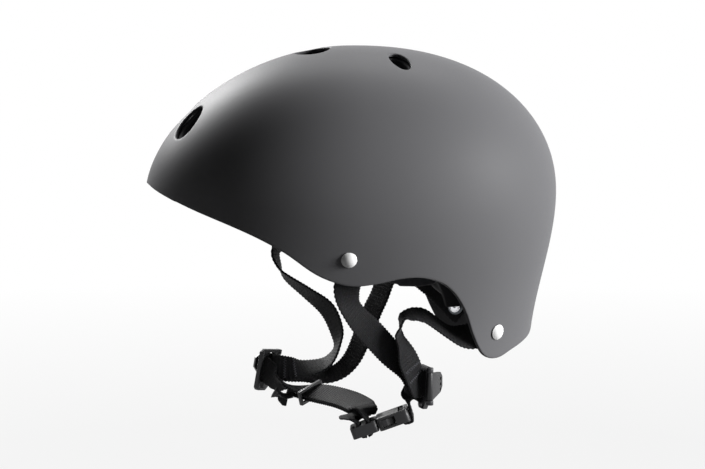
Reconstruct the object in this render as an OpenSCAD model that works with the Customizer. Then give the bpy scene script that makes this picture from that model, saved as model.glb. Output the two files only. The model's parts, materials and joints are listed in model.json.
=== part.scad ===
// Skate helmet: hard shell, foam liner, comfort pads, nape dial and chin harness.
// Front is -X, rear is +X, the wearer's left is -Y and +Z is up.
// The origin is the middle of the head space. Millimetres and degrees.

/* [Shell] */
// Length of the shell over its widest level
shell_l = 266.8; // [240:1:290]
// Width of the shell over its widest level
shell_w = 210; // [190:1:230]
// Height of the crown above the origin
crown_z = 121.9; // [112:0.5:130]
// Height of the widest level above the origin
equator_z = 27.5; // [22:0.5:32]
// Thickness of the hard shell
shell_t = 2.5; // [2:0.1:4]
// Thickness of the foam liner
liner_t = 20; // [14:0.5:22]
// Height that the liner stops short of the shell's rim
liner_lift = 4; // [2:0.5:8]
// Thickness of the comfort pads
pad_t = 7; // [4:0.5:9]

/* [Vents] */
// Width of the two front vents
front_vent_w = 23; // [16:1:26]
// Length of the two front vents
front_vent_l = 30; // [22:1:32]
// Width across of the single top vent
top_vent_w = 43; // [26:1:46]
// Length of the single top vent
top_vent_h = 23; // [16:1:26]
// Length of the two side vents
side_vent_l = 26.5; // [18:0.5:28]
// Width of the two side vents
side_vent_w = 12.5; // [8:0.5:16]
// Width across of the two rear vents
rear_vent_w = 16; // [12:1:20]
// Height of the two rear vents
rear_vent_h = 26; // [16:1:26]

/* [Harness] */
// Width of the webbing
web_w = 17; // [15:0.5:18]
// Thickness of the webbing
web_t = 1.6; // [1.2:0.1:2]
// Diameter of a rivet's cap
cap_d = 10; // [9:0.1:14]
// Height of a rivet's cap
cap_h = 2.4; // [1.6:0.1:3.4]
// Diameter of a rivet's shank
shank_d = 4.9; // [4:0.1:6]
// Height of a strap divider's plate
divider_h = 28; // [28:0.5:32]
// Width of a strap divider across its hinge
divider_w = 19; // [18.5:0.5:21]
// Length of the buckle's housing
housing_l = 21; // [20:0.5:25]
// Width of the buckle's housing
housing_w = 21.5; // [21:0.5:24]
// Thickness of the buckle's housing
housing_t = 8.4; // [8:0.1:10]

/* [Nape dial] */
// Diameter of the dial's knob
knob_d = 24; // [20:0.5:26]
// Depth of the dial's knob
knob_h = 8.4; // [7:0.1:9]
// Width of the dial's housing
dial_w = 52; // [50:0.5:56]
// Height of the dial's housing
dial_h = 22; // [21.5:0.1:24]
// Teeth on the pinion
pinion_teeth = 10; // [10:1:10]
// Height of a fit band
band_h = 11; // [9:0.5:12]
// Thickness of a fit band
band_t = 1.4; // [1:0.1:1.8]

/* [Hidden] */

round_fn = 48;
clear = 0.3;
run_fit = 0.05;

// Colours
shell_grey = "#5b5b5d";
foam_black = "#1c1c1e";
pad_black = "#242426";
web_black = "#202022";
plastic_black = "#2a2a2c";
plastic_grey = "#6d6d70";
chrome = "#d8dadd";
steel = "#9a9da1";

// Shape of the shell
// The dome is a superellipse in plan and in height; below its widest level the wall
// draws in. Each value is given for the front, the side and the rear.
plan_power = 2.1;
rise_front = 1.714;
rise_side = 2.1;
rise_rear = 2.077;
span_front = 1.9;
span_side = 2.2;
span_rear = 2.286;
draw_front = -0.05;
draw_side = 0.21;
draw_rear = 0.125;
skirt_h = 105;
skirt_per_degree = 1.6;

function smooth(t) = let (c = min(max(t, 0), 1)) c * c * (3 - 2 * c);
function lerp(a, b, t) = a + (b - a) * t;
function unit(v) = v / norm(v);
function around(u, front, side, rear) =
    side + (cos(u) >= 0 ? rear - side : front - side) * cos(u) * cos(u);
function plan_radius(u, inset) =
    pow(pow(abs(cos(u)) / (shell_l / 2 - inset), plan_power)
        + pow(abs(sin(u)) / (shell_w / 2 - inset), plan_power), -1 / plan_power);
function dome_h(inset) = crown_z - equator_z - inset;

// A point on the wall at azimuth u, where 0 is the rear, and at latitude lat: degrees
// above the widest level, or below it one step for each skirt_per_degree of depth.
function wall_lat(u, lat, inset) =
    lat >= 0
    ? let (r = plan_radius(u, inset)
               * pow(max(cos(lat), 0), 2 / around(u, span_front, span_side, span_rear)))
      [r * cos(u), r * sin(u),
       equator_z + dome_h(inset)
                   * pow(sin(lat), 2 / around(u, rise_front, rise_side, rise_rear))]
    : let (depth = -lat * skirt_per_degree,
           r = plan_radius(u, inset)
               * (1 - around(u, draw_front, draw_side, draw_rear) * smooth(depth / skirt_h)))
      [r * cos(u), r * sin(u), equator_z - depth];
function lat_at(u, z, inset) =
    z >= equator_z
    ? asin(pow(min((z - equator_z) / dome_h(inset), 1),
               around(u, rise_front, rise_side, rise_rear) / 2))
    : (z - equator_z) / skirt_per_degree;
function wall(u, z, inset) = wall_lat(u, lat_at(u, z, inset), inset);
function lat_normal(u, lat) =
    unit(cross(wall_lat(u + 1, lat, 0) - wall_lat(u - 1, lat, 0),
               wall_lat(u, lat + 1, 0) - wall_lat(u, lat - 1, 0)));
function wall_normal(u, z) = lat_normal(u, lat_at(u, z, 0));

// Rim of the shell: height against the angle from the rear, the same on both sides
rim_curve = [[0, -56], [6, -59], [12, -64], [20, -67.5], [28, -71], [36, -75], [42, -72],
             [47, -59.5], [52, -43.8], [58, -31], [64, -23.3], [72, -19.2], [80, -19.3],
             [90, -22.5], [98, -23.6], [105, -21], [112, -15], [122, -1], [134, 11],
             [150, 22.3], [165, 30.5], [180, 34.3]];
function rim_slope(i) =
    i == 0 || i == len(rim_curve) - 1
    ? 0
    : (rim_curve[i + 1][1] - rim_curve[i - 1][1]) / (rim_curve[i + 1][0] - rim_curve[i - 1][0]);
function fold(u) = let (w = u - 360 * floor(u / 360)) w > 180 ? 360 - w : w;
function rim_span(v, i = 0) = i >= len(rim_curve) - 2 || v <= rim_curve[i + 1][0]
    ? i : rim_span(v, i + 1);
function rim_z(u) =
    let (v = fold(u), i = rim_span(v), p = rim_curve[i], q = rim_curve[i + 1],
         w = q[0] - p[0], t = (v - p[0]) / w)
    p[1] * (1 + 2 * t) * (1 - t) * (1 - t) + rim_slope(i) * w * t * (1 - t) * (1 - t)
    + q[1] * t * t * (3 - 2 * t) + rim_slope(i + 1) * w * t * t * (t - 1);

// Rim of the liner: a little above the shell's rim, short of the lobes that the rear
// straps are riveted to, and well up behind the nape dial
lobe_z = -44;
dial_bay_z = -31;
dial_bay_end = 38;
dial_bay_blend = 7;
function liner_rim_z(u) =
    max(rim_z(u) + liner_lift,
        lerp(lobe_z, dial_bay_z, smooth((dial_bay_end - fold(u)) / dial_bay_blend)));

// Azimuths of the wall's columns, closer together where the rim drops to the nape
half_columns = concat([for (v = [0:6:36]) v], [for (v = [40:2.5:65]) v], [for (v = [70:5.5:175.6]) v]);
columns = concat(half_columns, [180],
                 [for (i = [len(half_columns) - 1:-1:1]) 360 - half_columns[i]]);
shell_rows = 13;
liner_rows = 11;

// One wall, closed: rows of points from its rim to the crown, outside and inside
module wall_solid(rim_out, rim_in, outer, inner, rows) {
    n = len(columns);
    outside = [for (j = [0:rows - 1]) for (i = [0:n - 1])
                   let (u = columns[i], low = lat_at(u, rim_out[i], outer))
                   wall_lat(u, lerp(low, 90, j / rows), outer)];
    inside = [for (j = [0:rows - 1]) for (i = [0:n - 1])
                  let (u = columns[i], low = lat_at(u, rim_in[i], inner))
                  wall_lat(u, lerp(low, 90, j / rows), inner)];
    points = concat(outside, inside, [[0, 0, crown_z - outer], [0, 0, crown_z - inner]]);
    m = rows * n;
    faces = concat(
        [for (j = [0:rows - 2]) for (i = [0:n - 1])
             let (a = j * n + i, b = j * n + (i + 1) % n) each [[a, a + n, b + n], [a, b + n, b]]],
        [for (j = [0:rows - 2]) for (i = [0:n - 1])
             let (a = m + j * n + i, b = m + j * n + (i + 1) % n)
             each [[a, b + n, a + n], [a, b, b + n]]],
        [for (i = [0:n - 1])
             let (a = (rows - 1) * n + i, b = (rows - 1) * n + (i + 1) % n)
             each [[a, 2 * m, b], [m + a, m + b, 2 * m + 1]]],
        [for (i = [0:n - 1])
             let (k = (i + 1) % n) each [[i, k, m + k], [i, m + k, m + i]]]);
    polyhedron(points, faces, convexity = 6);
}

// Puts a child's +Z along a direction, with its +X down the slope
module aim(point, direction) {
    translate(point)
        rotate([0, acos(direction[2] / norm(direction)), atan2(direction[1], direction[0])])
            children();
}

// Vents: azimuth, latitude, size down the slope, size across, and turn of that size
vents = [[189.5, 33.7, front_vent_l, front_vent_w, 43],
         [170.5, 33.7, front_vent_l, front_vent_w, -43],
         [180, 78, top_vent_h, top_vent_w, 0],
         [300, 66.4, side_vent_l, side_vent_w, -7], [60, 66.4, side_vent_l, side_vent_w, 7],
         [0, 52, rear_vent_h, rear_vent_w, 0], [0, 22, rear_vent_h, rear_vent_w, 0]];
vent_sides = 28;
vent_reach = 60;
module vent_cuts(narrower) {
    for (v = vents)
        aim(wall_lat(v[0], v[1], 0), lat_normal(v[0], v[1]))
            rotate([0, 0, v[4]])
                linear_extrude(height = vent_reach, center = true)
                    polygon([for (i = [0:vent_sides - 1])
                                 let (a = 360 * (i + 0.5) / vent_sides)
                                 [(v[2] / 2 - narrower) * cos(a), (v[3] / 2 - narrower) * sin(a)]]);
}

// Rivets: azimuth and height on the left side; the right side mirrors them
front_rivet = [260.2, -6];
rear_rivet = [322.8, -57.9];
web_gap = 0.8;
web_inset = shell_t + web_gap + web_t / 2;
washer_t = 1;
washer_d = 11;
tail_d = 8;
tail_h = 1.4;
module on_rivets(place) {
    for (side = [0, 1])
        mirror([0, side, 0])
            aim(wall(place[0], place[1], 0), wall_normal(place[0], place[1]))
                children();
}

// Hard shell
module outer_shell() {
    rims = [for (u = columns) rim_z(u)];
    color(shell_grey)
        difference() {
            wall_solid(rims, rims, 0, shell_t, shell_rows);
            vent_cuts(0);
            for (place = [front_rivet, rear_rivet])
                on_rivets(place)
                    cylinder(d = shank_d + 0.3, h = 24, center = true, $fn = round_fn);
        }
}

// Foam liner with its vents, strap pockets and pin holes
liner_gap = 0.8;
front_pocket = [58, 50, 11];
rear_channel = [304, -38];
rear_channel_size = [38, 34, 15];
module strap_pocket(place, size) {
    on_rivets(place)
        translate([0, 0, -(shell_t + size[2]) + 10])
            cube([size[1], size[0], 20], center = true);
}
module foam_liner() {
    rims_out = [for (u = columns) liner_rim_z(u)];
    rims_in = [for (u = columns) liner_rim_z(u) + 3];
    color(foam_black)
        difference() {
            wall_solid(rims_out, rims_in, shell_t + liner_gap, shell_t + liner_gap + liner_t,
                       liner_rows);
            vent_cuts(1);
            strap_pocket(front_rivet, front_pocket);
            strap_pocket([rear_channel[0] + 6, rear_channel[1]], rear_channel_size);
            anchor_place() cylinder(d = anchor_pin_d + 2 * clear, h = 30, center = true, $fn = round_fn);
            bracket_pin_places()
                cylinder(d = bracket_pin_d + 2 * clear, h = 40, center = true, $fn = round_fn);
        }
}

// Pads follow the liner's inside, with a crowned face towards the head
pad_gap = 0.7;
pad_inset = shell_t + liner_gap + liner_t + pad_gap;
pad_edge = 0.35;
pad_steps = [10, 7];
function crown(t) = pow(max(1 - pow(abs(2 * t - 1), 4), 0), 0.5);
module pad_patch(from_u, to_u, low_a, low_b, high_a, high_b, bow = 0) {
    nu = pad_steps[0];
    nv = pad_steps[1];
    function place(i, j, inset) =
        let (s = i / nu, t = j / nv, u = lerp(from_u, to_u, s),
             low = lerp(low_a, low_b, s) - 4 * bow * s * (1 - s),
             high = lerp(high_a, high_b, s))
        wall_lat(u, lerp(lat_at(u, low, inset), lat_at(u, high, inset), t), inset);
    function depth(i, j) = pad_t * (pad_edge + (1 - pad_edge) * crown(i / nu) * crown(j / nv));
    base = [for (j = [0:nv]) for (i = [0:nu]) place(i, j, pad_inset)];
    face = [for (j = [0:nv]) for (i = [0:nu]) place(i, j, pad_inset + depth(i, j))];
    n = nu + 1;
    m = (nv + 1) * n;
    faces = concat(
        [for (j = [0:nv - 1]) for (i = [0:nu - 1])
             let (a = j * n + i) each [[a, a + n, a + n + 1], [a, a + n + 1, a + 1]]],
        [for (j = [0:nv - 1]) for (i = [0:nu - 1])
             let (a = m + j * n + i) each [[a, a + n + 1, a + n], [a, a + 1, a + n + 1]]],
        [for (i = [0:nu - 1]) each [[i, i + 1, m + i + 1], [i, m + i + 1, m + i]]],
        [for (i = [0:nu - 1])
             let (a = nv * n + i) each [[a, m + a + 1, a + 1], [a, m + a, m + a + 1]]],
        [for (j = [0:nv - 1])
             let (a = j * n) each [[a, m + a + n, a + n], [a, m + a, m + a + n]]],
        [for (j = [0:nv - 1])
             let (a = j * n + nu) each [[a, a + n, m + a + n], [a, m + a + n, m + a]]]);
    polyhedron(concat(base, face), faces, convexity = 4);
}
front_pad_span = 38;
front_pad_z = [44, 68];
module front_pad() {
    color(pad_black)
        pad_patch(180 - front_pad_span, 180 + front_pad_span, front_pad_z[0], front_pad_z[0],
                  front_pad_z[1], front_pad_z[1]);
}
side_pad_from = 54;
side_pad_to = 86;
side_pad_low = [-20, -25];
side_pad_high = 24;
side_pad_bow = 5.5;
module left_side_pad() {
    color(pad_black)
        pad_patch(360 - side_pad_to, 360 - side_pad_from, side_pad_low[0], side_pad_low[1],
                  side_pad_high, side_pad_high, side_pad_bow);
}
module right_side_pad() {
    color(pad_black)
        pad_patch(side_pad_from, side_pad_to, side_pad_low[1], side_pad_low[0],
                  side_pad_high, side_pad_high, side_pad_bow);
}
rear_pad_span = 30;
rear_pad_z = [-12, 22];
module rear_pad() {
    color(pad_black)
        pad_patch(-rear_pad_span, rear_pad_span, rear_pad_z[0], rear_pad_z[0],
                  rear_pad_z[1], rear_pad_z[1]);
}
crown_pad_x = 21;
crown_pad_d = 52;
crown_pad_rings = 6;
crown_pad_sides = 28;
module crown_pad() {
    function level(x, y, inset) =
        let (u = atan2(y, x), r = norm([x, y]),
             span = around(u, span_front, span_side, span_rear),
             lat = acos(min(pow(r / plan_radius(u, inset), span / 2), 1)))
        wall_lat(u, lat, inset)[2];
    function at(k, i) = let (r = crown_pad_d / 2 * k / crown_pad_rings, a = 360 * i / crown_pad_sides)
        [crown_pad_x + r * cos(a), r * sin(a)];
    function depth(k) = pad_t * (pad_edge + (1 - pad_edge) * crown(0.5 + k / crown_pad_rings / 2));
    n = crown_pad_sides;
    rings = crown_pad_rings;
    top = [for (k = [1:rings]) for (i = [0:n - 1])
               let (p = at(k, i)) [p[0], p[1], level(p[0], p[1], pad_inset)]];
    low = [for (k = [1:rings]) for (i = [0:n - 1])
               let (p = at(k, i)) [p[0], p[1], level(p[0], p[1], pad_inset) - depth(k)]];
    m = rings * n;
    middle = level(crown_pad_x, 0, pad_inset);
    faces = concat(
        [for (k = [0:rings - 2]) for (i = [0:n - 1])
             let (a = k * n + i, b = k * n + (i + 1) % n)
             each [[a, b + n, a + n], [a, b, b + n], [m + a, m + a + n, m + b + n],
                   [m + a, m + b + n, m + b]]],
        [for (i = [0:n - 1])
             let (k = (i + 1) % n, a = (rings - 1) * n + i, b = (rings - 1) * n + k)
             each [[2 * m, k, i], [2 * m + 1, m + i, m + k], [a, b, m + b], [a, m + b, m + a]]]);
    color(pad_black)
        polyhedron(concat(top, low, [[crown_pad_x, 0, middle], [crown_pad_x, 0, middle - pad_t]]),
                   faces, convexity = 4);
}

// Rivets, their washers and the straps that they hold
module rivet() {
    cap_r = (cap_d * cap_d / 4 + cap_h * cap_h) / (2 * cap_h);
    translate([0, 0, cap_seat])
        intersection() {
            translate([0, 0, cap_h - cap_r]) sphere(r = cap_r, $fn = 64);
            cylinder(d = cap_d + 1, h = cap_h + 1, $fn = 64);
        }
    translate([0, 0, -rivet_grip - tail_h]) cylinder(d = shank_d, h = rivet_grip + tail_h + 0.2, $fn = round_fn);
    translate([0, 0, -rivet_grip - tail_h]) cylinder(d = tail_d, h = tail_h, $fn = round_fn);
}
cap_seat = 0.5;
washer_top = web_inset + web_t / 2 + 0.4;
rivet_grip = washer_top + washer_t + 0.1;
module front_rivets() {
    color(chrome) on_rivets(front_rivet) rivet();
}
module rear_rivets() {
    color(chrome) on_rivets(rear_rivet) rivet();
}
module rivet_washers() {
    color(steel)
        for (place = [front_rivet, rear_rivet])
            on_rivets(place)
                translate([0, 0, -washer_top - washer_t])
                    difference() {
                        cylinder(d = washer_d, h = washer_t, $fn = round_fn);
                        translate([0, 0, -1])
                            cylinder(d = shank_d + 2 * run_fit, h = washer_t + 2, $fn = round_fn);
                    }
}

// A flat strap swept along stations; each station is a point and its width's direction
function spline(p, q, r, s, t) =
    0.5 * (2 * q + (r - p) * t + (2 * p - 5 * q + 4 * r - s) * t * t
           + (3 * q - p - 3 * r + s) * t * t * t);
function stations(route, per) =
    let (n = len(route))
    [for (i = [0:n - 2]) for (k = [0:per - (i == n - 2 ? 0 : 1)])
         let (p = route[max(i - 1, 0)], q = route[i], r = route[i + 1],
              s = route[min(i + 2, n - 1)], t = k / per)
         [spline(p[0], q[0], r[0], s[0], t), unit(spline(p[1], q[1], r[1], s[1], t))]];
// Width direction that lies flat on the wall for a strap that heads along way
function flat_on(u, z, way) = unit(cross(wall_normal(u, z), way));
// A control point moved off a strap's face, for a second strap laid on it
function laid_on(route, i, drop) =
    let (t = unit(route[i + 1][0] - route[i - 1][0]),
         a = unit(route[i][1] - t * (route[i][1] * t)))
    [route[i][0] + cross(t, a) * drop, route[i][1]];
module ribbon(route, width, thick, per = 3) {
    line = stations(route, per);
    n = len(line);
    corners = [for (i = [0:n - 1])
                   let (way = unit(line[min(i + 1, n - 1)][0] - line[max(i - 1, 0)][0]),
                        across = unit(line[i][1] - way * (line[i][1] * way)),
                        up = cross(way, across))
                   each [for (c = [[-1, -1], [1, -1], [1, 1], [-1, 1]])
                             line[i][0] + across * (c[0] * width / 2) + up * (c[1] * thick / 2)]];
    sides = [for (i = [0:n - 2]) for (c = [0:3])
                 let (a = 4 * i + c, b = 4 * i + (c + 1) % 4)
                 each [[a, b + 4, b], [a, a + 4, b + 4]]];
    polyhedron(corners, concat(sides, [[0, 1, 2, 3], [4 * n - 1, 4 * n - 2, 4 * n - 3, 4 * n - 4]]),
               convexity = 6);
}

// Strap dividers: a slotted frame with a hinged cam lock
frame_t = 3;
lock_t = 2.2;
hinge_l = 24;
hinge_d = 4.4;
hinge_pin_d = 2.2;
ear_h = 3;
left_lock_open = 42;
right_lock_open = 27;
lock_shift = 0.9;
slot_w = 5;
slot_a = 8.2;
slot_b = 14.8;
slot_pitch = web_t + 0.7;
slot_h = web_w + 1.6;
plate_top = hinge_l / 2;
plate_low = plate_top - divider_h;
slot_a_z = plate_top - 2 - slot_h / 2;
slot_b_h = web_w + 4.2;
slot_b_z = plate_low + 2 + slot_b_h / 2;
left_ridge = [40, -66, -91.5];
left_turn = 99;
right_ridge = [-39.7, 75.4, -97.7];
right_turn = 225;
right_lean = 10;
module left_divider_place() {
    translate(left_ridge) rotate([0, 0, left_turn]) children();
}
module right_divider_place() {
    translate(right_ridge) rotate([0, right_lean, 0]) rotate([0, 0, right_turn]) children();
}
// Point on a divider, from its ridge: along the plate, off its face and along the hinge
function turned(p, a) = [p[0] * cos(a) - p[1] * sin(a), p[0] * sin(a) + p[1] * cos(a), p[2]];
function leaned(p, a) = [p[0] * cos(a) + p[2] * sin(a), p[1], -p[0] * sin(a) + p[2] * cos(a)];
function on_left(p) = left_ridge + turned(p, left_turn);
function on_right(p) = right_ridge + leaned(turned(p, right_turn), right_lean);
right_axis = leaned([0, 0, 1], right_lean);
module divider_frame() {
    edge = hinge_d / 2 + 1.4;
    difference() {
        union() {
            rotate([90, 0, 0])
                linear_extrude(height = frame_t, center = true)
                    polygon([[edge, plate_top], [divider_w - 2, plate_top],
                             [divider_w, plate_top - 2], [divider_w, plate_low + 1.5],
                             [divider_w - 1.5, plate_low], [edge + 6, plate_low],
                             [edge, plate_low + 6]]);
            for (end = [-1, 1])
                translate([0, 0, end * (hinge_l - ear_h) / 2]) {
                    cylinder(d = hinge_d, h = ear_h, center = true, $fn = round_fn);
                    translate([0, -frame_t / 2, -ear_h / 2]) cube([hinge_d, frame_t, ear_h]);
                }
        }
        cylinder(d = hinge_pin_d + 2 * run_fit, h = divider_h + 9, center = true, $fn = round_fn);
        translate([slot_a, 0, slot_a_z]) cube([slot_w, frame_t + 2, slot_h], center = true);
        translate([slot_b, 0, slot_b_z]) cube([slot_w - 1.4, frame_t + 2, slot_b_h], center = true);
    }
}
module divider_lock(side, open) {
    barrel = hinge_l - 2 * ear_h - 2 * clear;
    rotate([0, 0, -side * open]) {
        difference() {
            union() {
                cylinder(d = hinge_d - 0.4, h = barrel, center = true, $fn = round_fn);
                translate([0, -side * lock_shift, 0]) rotate([90, 0, 0])
                    linear_extrude(height = lock_t, center = true)
                        polygon([[0, -barrel / 2], [divider_w - 6, -barrel / 2 + 3.5],
                                 [divider_w - 3, -barrel / 2 + 7], [divider_w - 3, barrel / 2 - 4],
                                 [divider_w - 6, barrel / 2 - 1], [0, barrel / 2]]);
            }
            for (k = [-1:1])
                translate([divider_w - 6, 0, k * barrel / 5])
                    rotate([90, 0, 0]) cylinder(d = 2.2, h = 2 * lock_t + 2, center = true, $fn = 24);
        }
        for (k = [0:2])
            translate([6.5 + 2.2 * k, side * (lock_t / 2 - lock_shift), 0])
                rotate([0, 0, 45]) cube([0.8, 0.8, barrel - 5], center = true);
    }
    cylinder(d = hinge_pin_d, h = hinge_l, center = true, $fn = round_fn);
}
module left_divider_frame() {
    color(plastic_grey) left_divider_place() divider_frame();
}
module right_divider_frame() {
    color(plastic_grey) right_divider_place() divider_frame();
}
module left_divider_lock() {
    color(plastic_black) left_divider_place() divider_lock(1, left_lock_open);
}
module right_divider_lock() {
    color(plastic_black) right_divider_place() divider_lock(1, right_lock_open);
}

// Straps of the left side
slot_end = 1.9;
left_front_route = [
    [wall(front_rivet[0], 4, web_inset), flat_on(front_rivet[0], 4, [0, 0, -1])],
    [wall(front_rivet[0], -6, web_inset), flat_on(front_rivet[0], -6, [0, 0, -1])],
    [wall(front_rivet[0], -16, web_inset + 0.4), flat_on(front_rivet[0], -16, [0, 0, -1])],
    [[-17, -90.3, -24], [1, 0, 0.1]],
    [[-16, -87, -31], [0.9, 0.3, 0.3]],
    [[-13, -84, -39], [0.6, 0.5, 0.5]],
    [[-7, -80, -47], [0.6, 0.4, 0.7]],
    [[0, -76, -54], [0.7, 0.2, 0.7]],
    [[13, -69, -68], [0.65, 0.2, 0.75]],
    [[25, -62, -79.5], [0.45, 0.45, 0.8]],
    [on_left([slot_a + slot_pitch / 2 + 1.3, 8, slot_a_z + 1.5]), [0, 0, 1]],
    [on_left([slot_a + slot_pitch / 2 + 0.2, 5.5, slot_a_z + 0.1]), [0, 0, 1]],
    [on_left([slot_a + slot_pitch / 2, 3, slot_a_z]), [0, 0, 1]],
    [on_left([slot_a + slot_pitch / 2, 0, slot_a_z]), [0, 0, 1]],
    [on_left([slot_a + slot_pitch / 2, -slot_end, slot_a_z]), [0, 0, 1]]];
left_rear_route = [
    [wall(rear_rivet[0] + 4.5, -57, web_inset), flat_on(rear_rivet[0] + 4.5, -57, [-1, 0, 0])],
    [wall(rear_rivet[0], -57.9, web_inset), flat_on(rear_rivet[0], -57.9, [-1, 0, 0])],
    [wall(rear_rivet[0] - 5, -59, web_inset + 1), flat_on(rear_rivet[0] - 5, -59, [-1, 0, 0])],
    [[62, -65, -60], [-0.1, -0.6, -0.8]],
    [[52, -66, -57], [-0.1, -0.9, -0.4]],
    [[38, -68, -47], [-0.1, -0.9, -0.4]],
    [[32, -69, -45], [0.1, -0.9, -0.4]],
    [[27, -70, -45], [0.1, -1, -0.3]],
    [[22, -71, -47], [-0.1, -1, -0.2]],
    [[20, -72, -52], [-0.2, -1, -0.1]],
    [[19, -72, -57], [-0.4, -0.9, 0]],
    [[21, -72, -63], [-0.5, -0.85, 0]],
    [[25, -70, -73], [-0.8, -0.6, -0.1]],
    [[28.5, -68, -81], [-0.6, -0.45, -0.65]],
    [on_left([slot_a - slot_pitch / 2 - 3.4, 8, slot_a_z + 1]), [0, 0, -1]],
    [on_left([slot_a - slot_pitch / 2 - 1.6, 5.5, slot_a_z + 0.1]), [0, 0, -1]],
    [on_left([slot_a - slot_pitch / 2, 3, slot_a_z]), [0, 0, -1]],
    [on_left([slot_a - slot_pitch / 2, 0, slot_a_z]), [0, 0, -1]],
    [on_left([slot_a - slot_pitch / 2, -slot_end, slot_a_z]), [0, 0, -1]]];
module strap_hole(place, side) {
    mirror([0, side, 0])
        aim(wall(place[0], place[1], 0), wall_normal(place[0], place[1]))
            cylinder(d = shank_d + 4 * run_fit, h = 24, center = true, $fn = round_fn);
}
module left_front_strap() {
    color(web_black)
        difference() {
            ribbon(left_front_route, web_w, web_t);
            strap_hole(front_rivet, 0);
        }
}
module left_rear_strap() {
    color(web_black)
        difference() {
            ribbon(left_rear_route, web_w, web_t);
            strap_hole(rear_rivet, 0);
        }
}

// Straps of the right side
right_front_u = 360 - front_rivet[0];
right_rear_u = 360 - rear_rivet[0];
front_way = [0.9, 0.1, 0.45];
rear_way = [-0.7, 0.35, 0.6];
right_front_route = [
    [wall(right_front_u - 5, -2, web_inset), flat_on(right_front_u - 5, -2, front_way)],
    [wall(right_front_u, -6, web_inset), flat_on(right_front_u, -6, front_way)],
    [wall(right_front_u + 5, -9, web_inset + 0.6), flat_on(right_front_u + 5, -9, front_way)],
    [wall(right_front_u + 10, -15, web_inset + 4.5), [0.45, 0.3, -0.85]],
    [[-38, 88, -21], [0.45, 0.9, -0.1]],
    [[-36, 87, -30], [0.25, 0.95, 0]],
    [[-31, 86, -38], [0, 0.95, -0.25]],
    [[-17, 84, -49], [-0.15, 0.9, -0.45]],
    [[-4, 80, -60], [-0.35, 0.8, -0.5]],
    [[2, 76, -74], [-0.35, 0.9, -0.35]],
    [[2, 73, -84], [-0.1, 0.95, -0.25]],
    [[-3, 71, -92], [-0.2, 1, 0]],
    [[-9, 70, -96], [-0.25, 0.9, 0.25]],
    [[-21, 67, -98], [-0.1, 0.85, 0.55]],
    [[-30, 64.2, -97.5], [0, 0.55, 0.83]],
    [on_right([slot_a + slot_pitch / 2 + 2.1, 6, slot_a_z]), right_axis],
    [on_right([slot_a + slot_pitch / 2, 3, slot_a_z]), right_axis],
    [on_right([slot_a + slot_pitch / 2, 0, slot_a_z]), right_axis],
    [on_right([slot_a + slot_pitch / 2, -slot_end, slot_a_z]), right_axis]];
right_rear_route = [
    [wall(right_rear_u - 3, -62, web_inset + 0.2), flat_on(right_rear_u - 3, -62, rear_way)],
    [wall(right_rear_u, -57.9, web_inset), flat_on(right_rear_u, -57.9, rear_way)],
    [wall(right_rear_u + 4, -51, web_inset + 0.9), flat_on(right_rear_u + 4, -51, rear_way)],
    [wall(right_rear_u + 9, -44, web_inset + 1.3), flat_on(right_rear_u + 9, -44, rear_way)],
    [wall(right_rear_u + 15, -38, web_inset + 2.5), [0.5, -0.5, 0.7]],
    [[49.8, 78, -37], [0.5, -0.6, 0.5]],
    [[41, 71, -35], [0.5, -0.8, 0.2]],
    [[34, 66, -39], [0.55, -0.8, -0.1]],
    [[29, 64, -50], [0.55, -0.8, -0.2]],
    [[24, 63, -60], [0.6, -0.8, -0.2]],
    [[17, 62, -77], [0.55, -0.8, -0.2]],
    [[11, 62, -90], [0.45, -0.85, -0.3]],
    [[4, 62, -98], [0.3, -0.9, -0.4]],
    [[-4, 63, -102], [0.1, -0.9, -0.45]],
    [[-13, 66, -102.5], [0.1, -0.9, -0.5]],
    [[-21, 69, -101.5], [0.1, -0.8, -0.6]],
    [[-30, 69.5, -99.5], [0, -0.5, -0.85]],
    [on_right([slot_a - slot_pitch / 2 - 1.5, 6, slot_a_z]), -right_axis],
    [on_right([slot_a - slot_pitch / 2, 3, slot_a_z]), -right_axis],
    [on_right([slot_a - slot_pitch / 2, 0, slot_a_z]), -right_axis],
    [on_right([slot_a - slot_pitch / 2, -slot_end, slot_a_z]), -right_axis]];
module right_front_strap() {
    color(web_black)
        difference() {
            ribbon(right_front_route, web_w, web_t);
            strap_hole(front_rivet, 1);
        }
}
module right_rear_strap() {
    color(web_black)
        difference() {
            ribbon(right_rear_route, web_w, web_t);
            strap_hole(rear_rivet, 1);
        }
}

// Side-release buckle: its +X is the way that the insert pulls out, its +Z the top face
buckle_at = [19.5, -50, -113.5];
buckle_out = unit([-0.92, 0.16, -0.34]);
buckle_side = unit(cross([0, 0, 1], buckle_out));
buckle_top = cross(buckle_out, buckle_side);
function on_buckle(p) = buckle_at + buckle_out * p[0] + buckle_side * p[1] + buckle_top * p[2];
module buckle_place() {
    multmatrix([[buckle_out[0], buckle_side[0], buckle_top[0], buckle_at[0]],
                [buckle_out[1], buckle_side[1], buckle_top[1], buckle_at[1]],
                [buckle_out[2], buckle_side[2], buckle_top[2], buckle_at[2]],
                [0, 0, 0, 1]])
        children();
}
housing_back = -housing_l / 2;
housing_wall = 1.5;
bar_d = 3;
bar_slot = 3.4;
mouth_x = housing_back + housing_l;
window_l = 9;
window_x = mouth_x - 2.6 - window_l;
cave_back = housing_back + bar_d + bar_slot + 1;
cave_w = housing_w - 2 * housing_wall;
cave_t = housing_t - 2 * housing_wall;
module rounded_slab(l, w, t, r) {
    linear_extrude(height = t, center = true) {
        translate([r, -w / 2]) square([l - 2 * r, w]);
        translate([0, -w / 2 + r]) square([l, w - 2 * r]);
        for (x = [r, l - r], y = [-w / 2 + r, w / 2 - r])
            translate([x, y]) circle(r = r, $fn = round_fn);
    }
}
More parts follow.
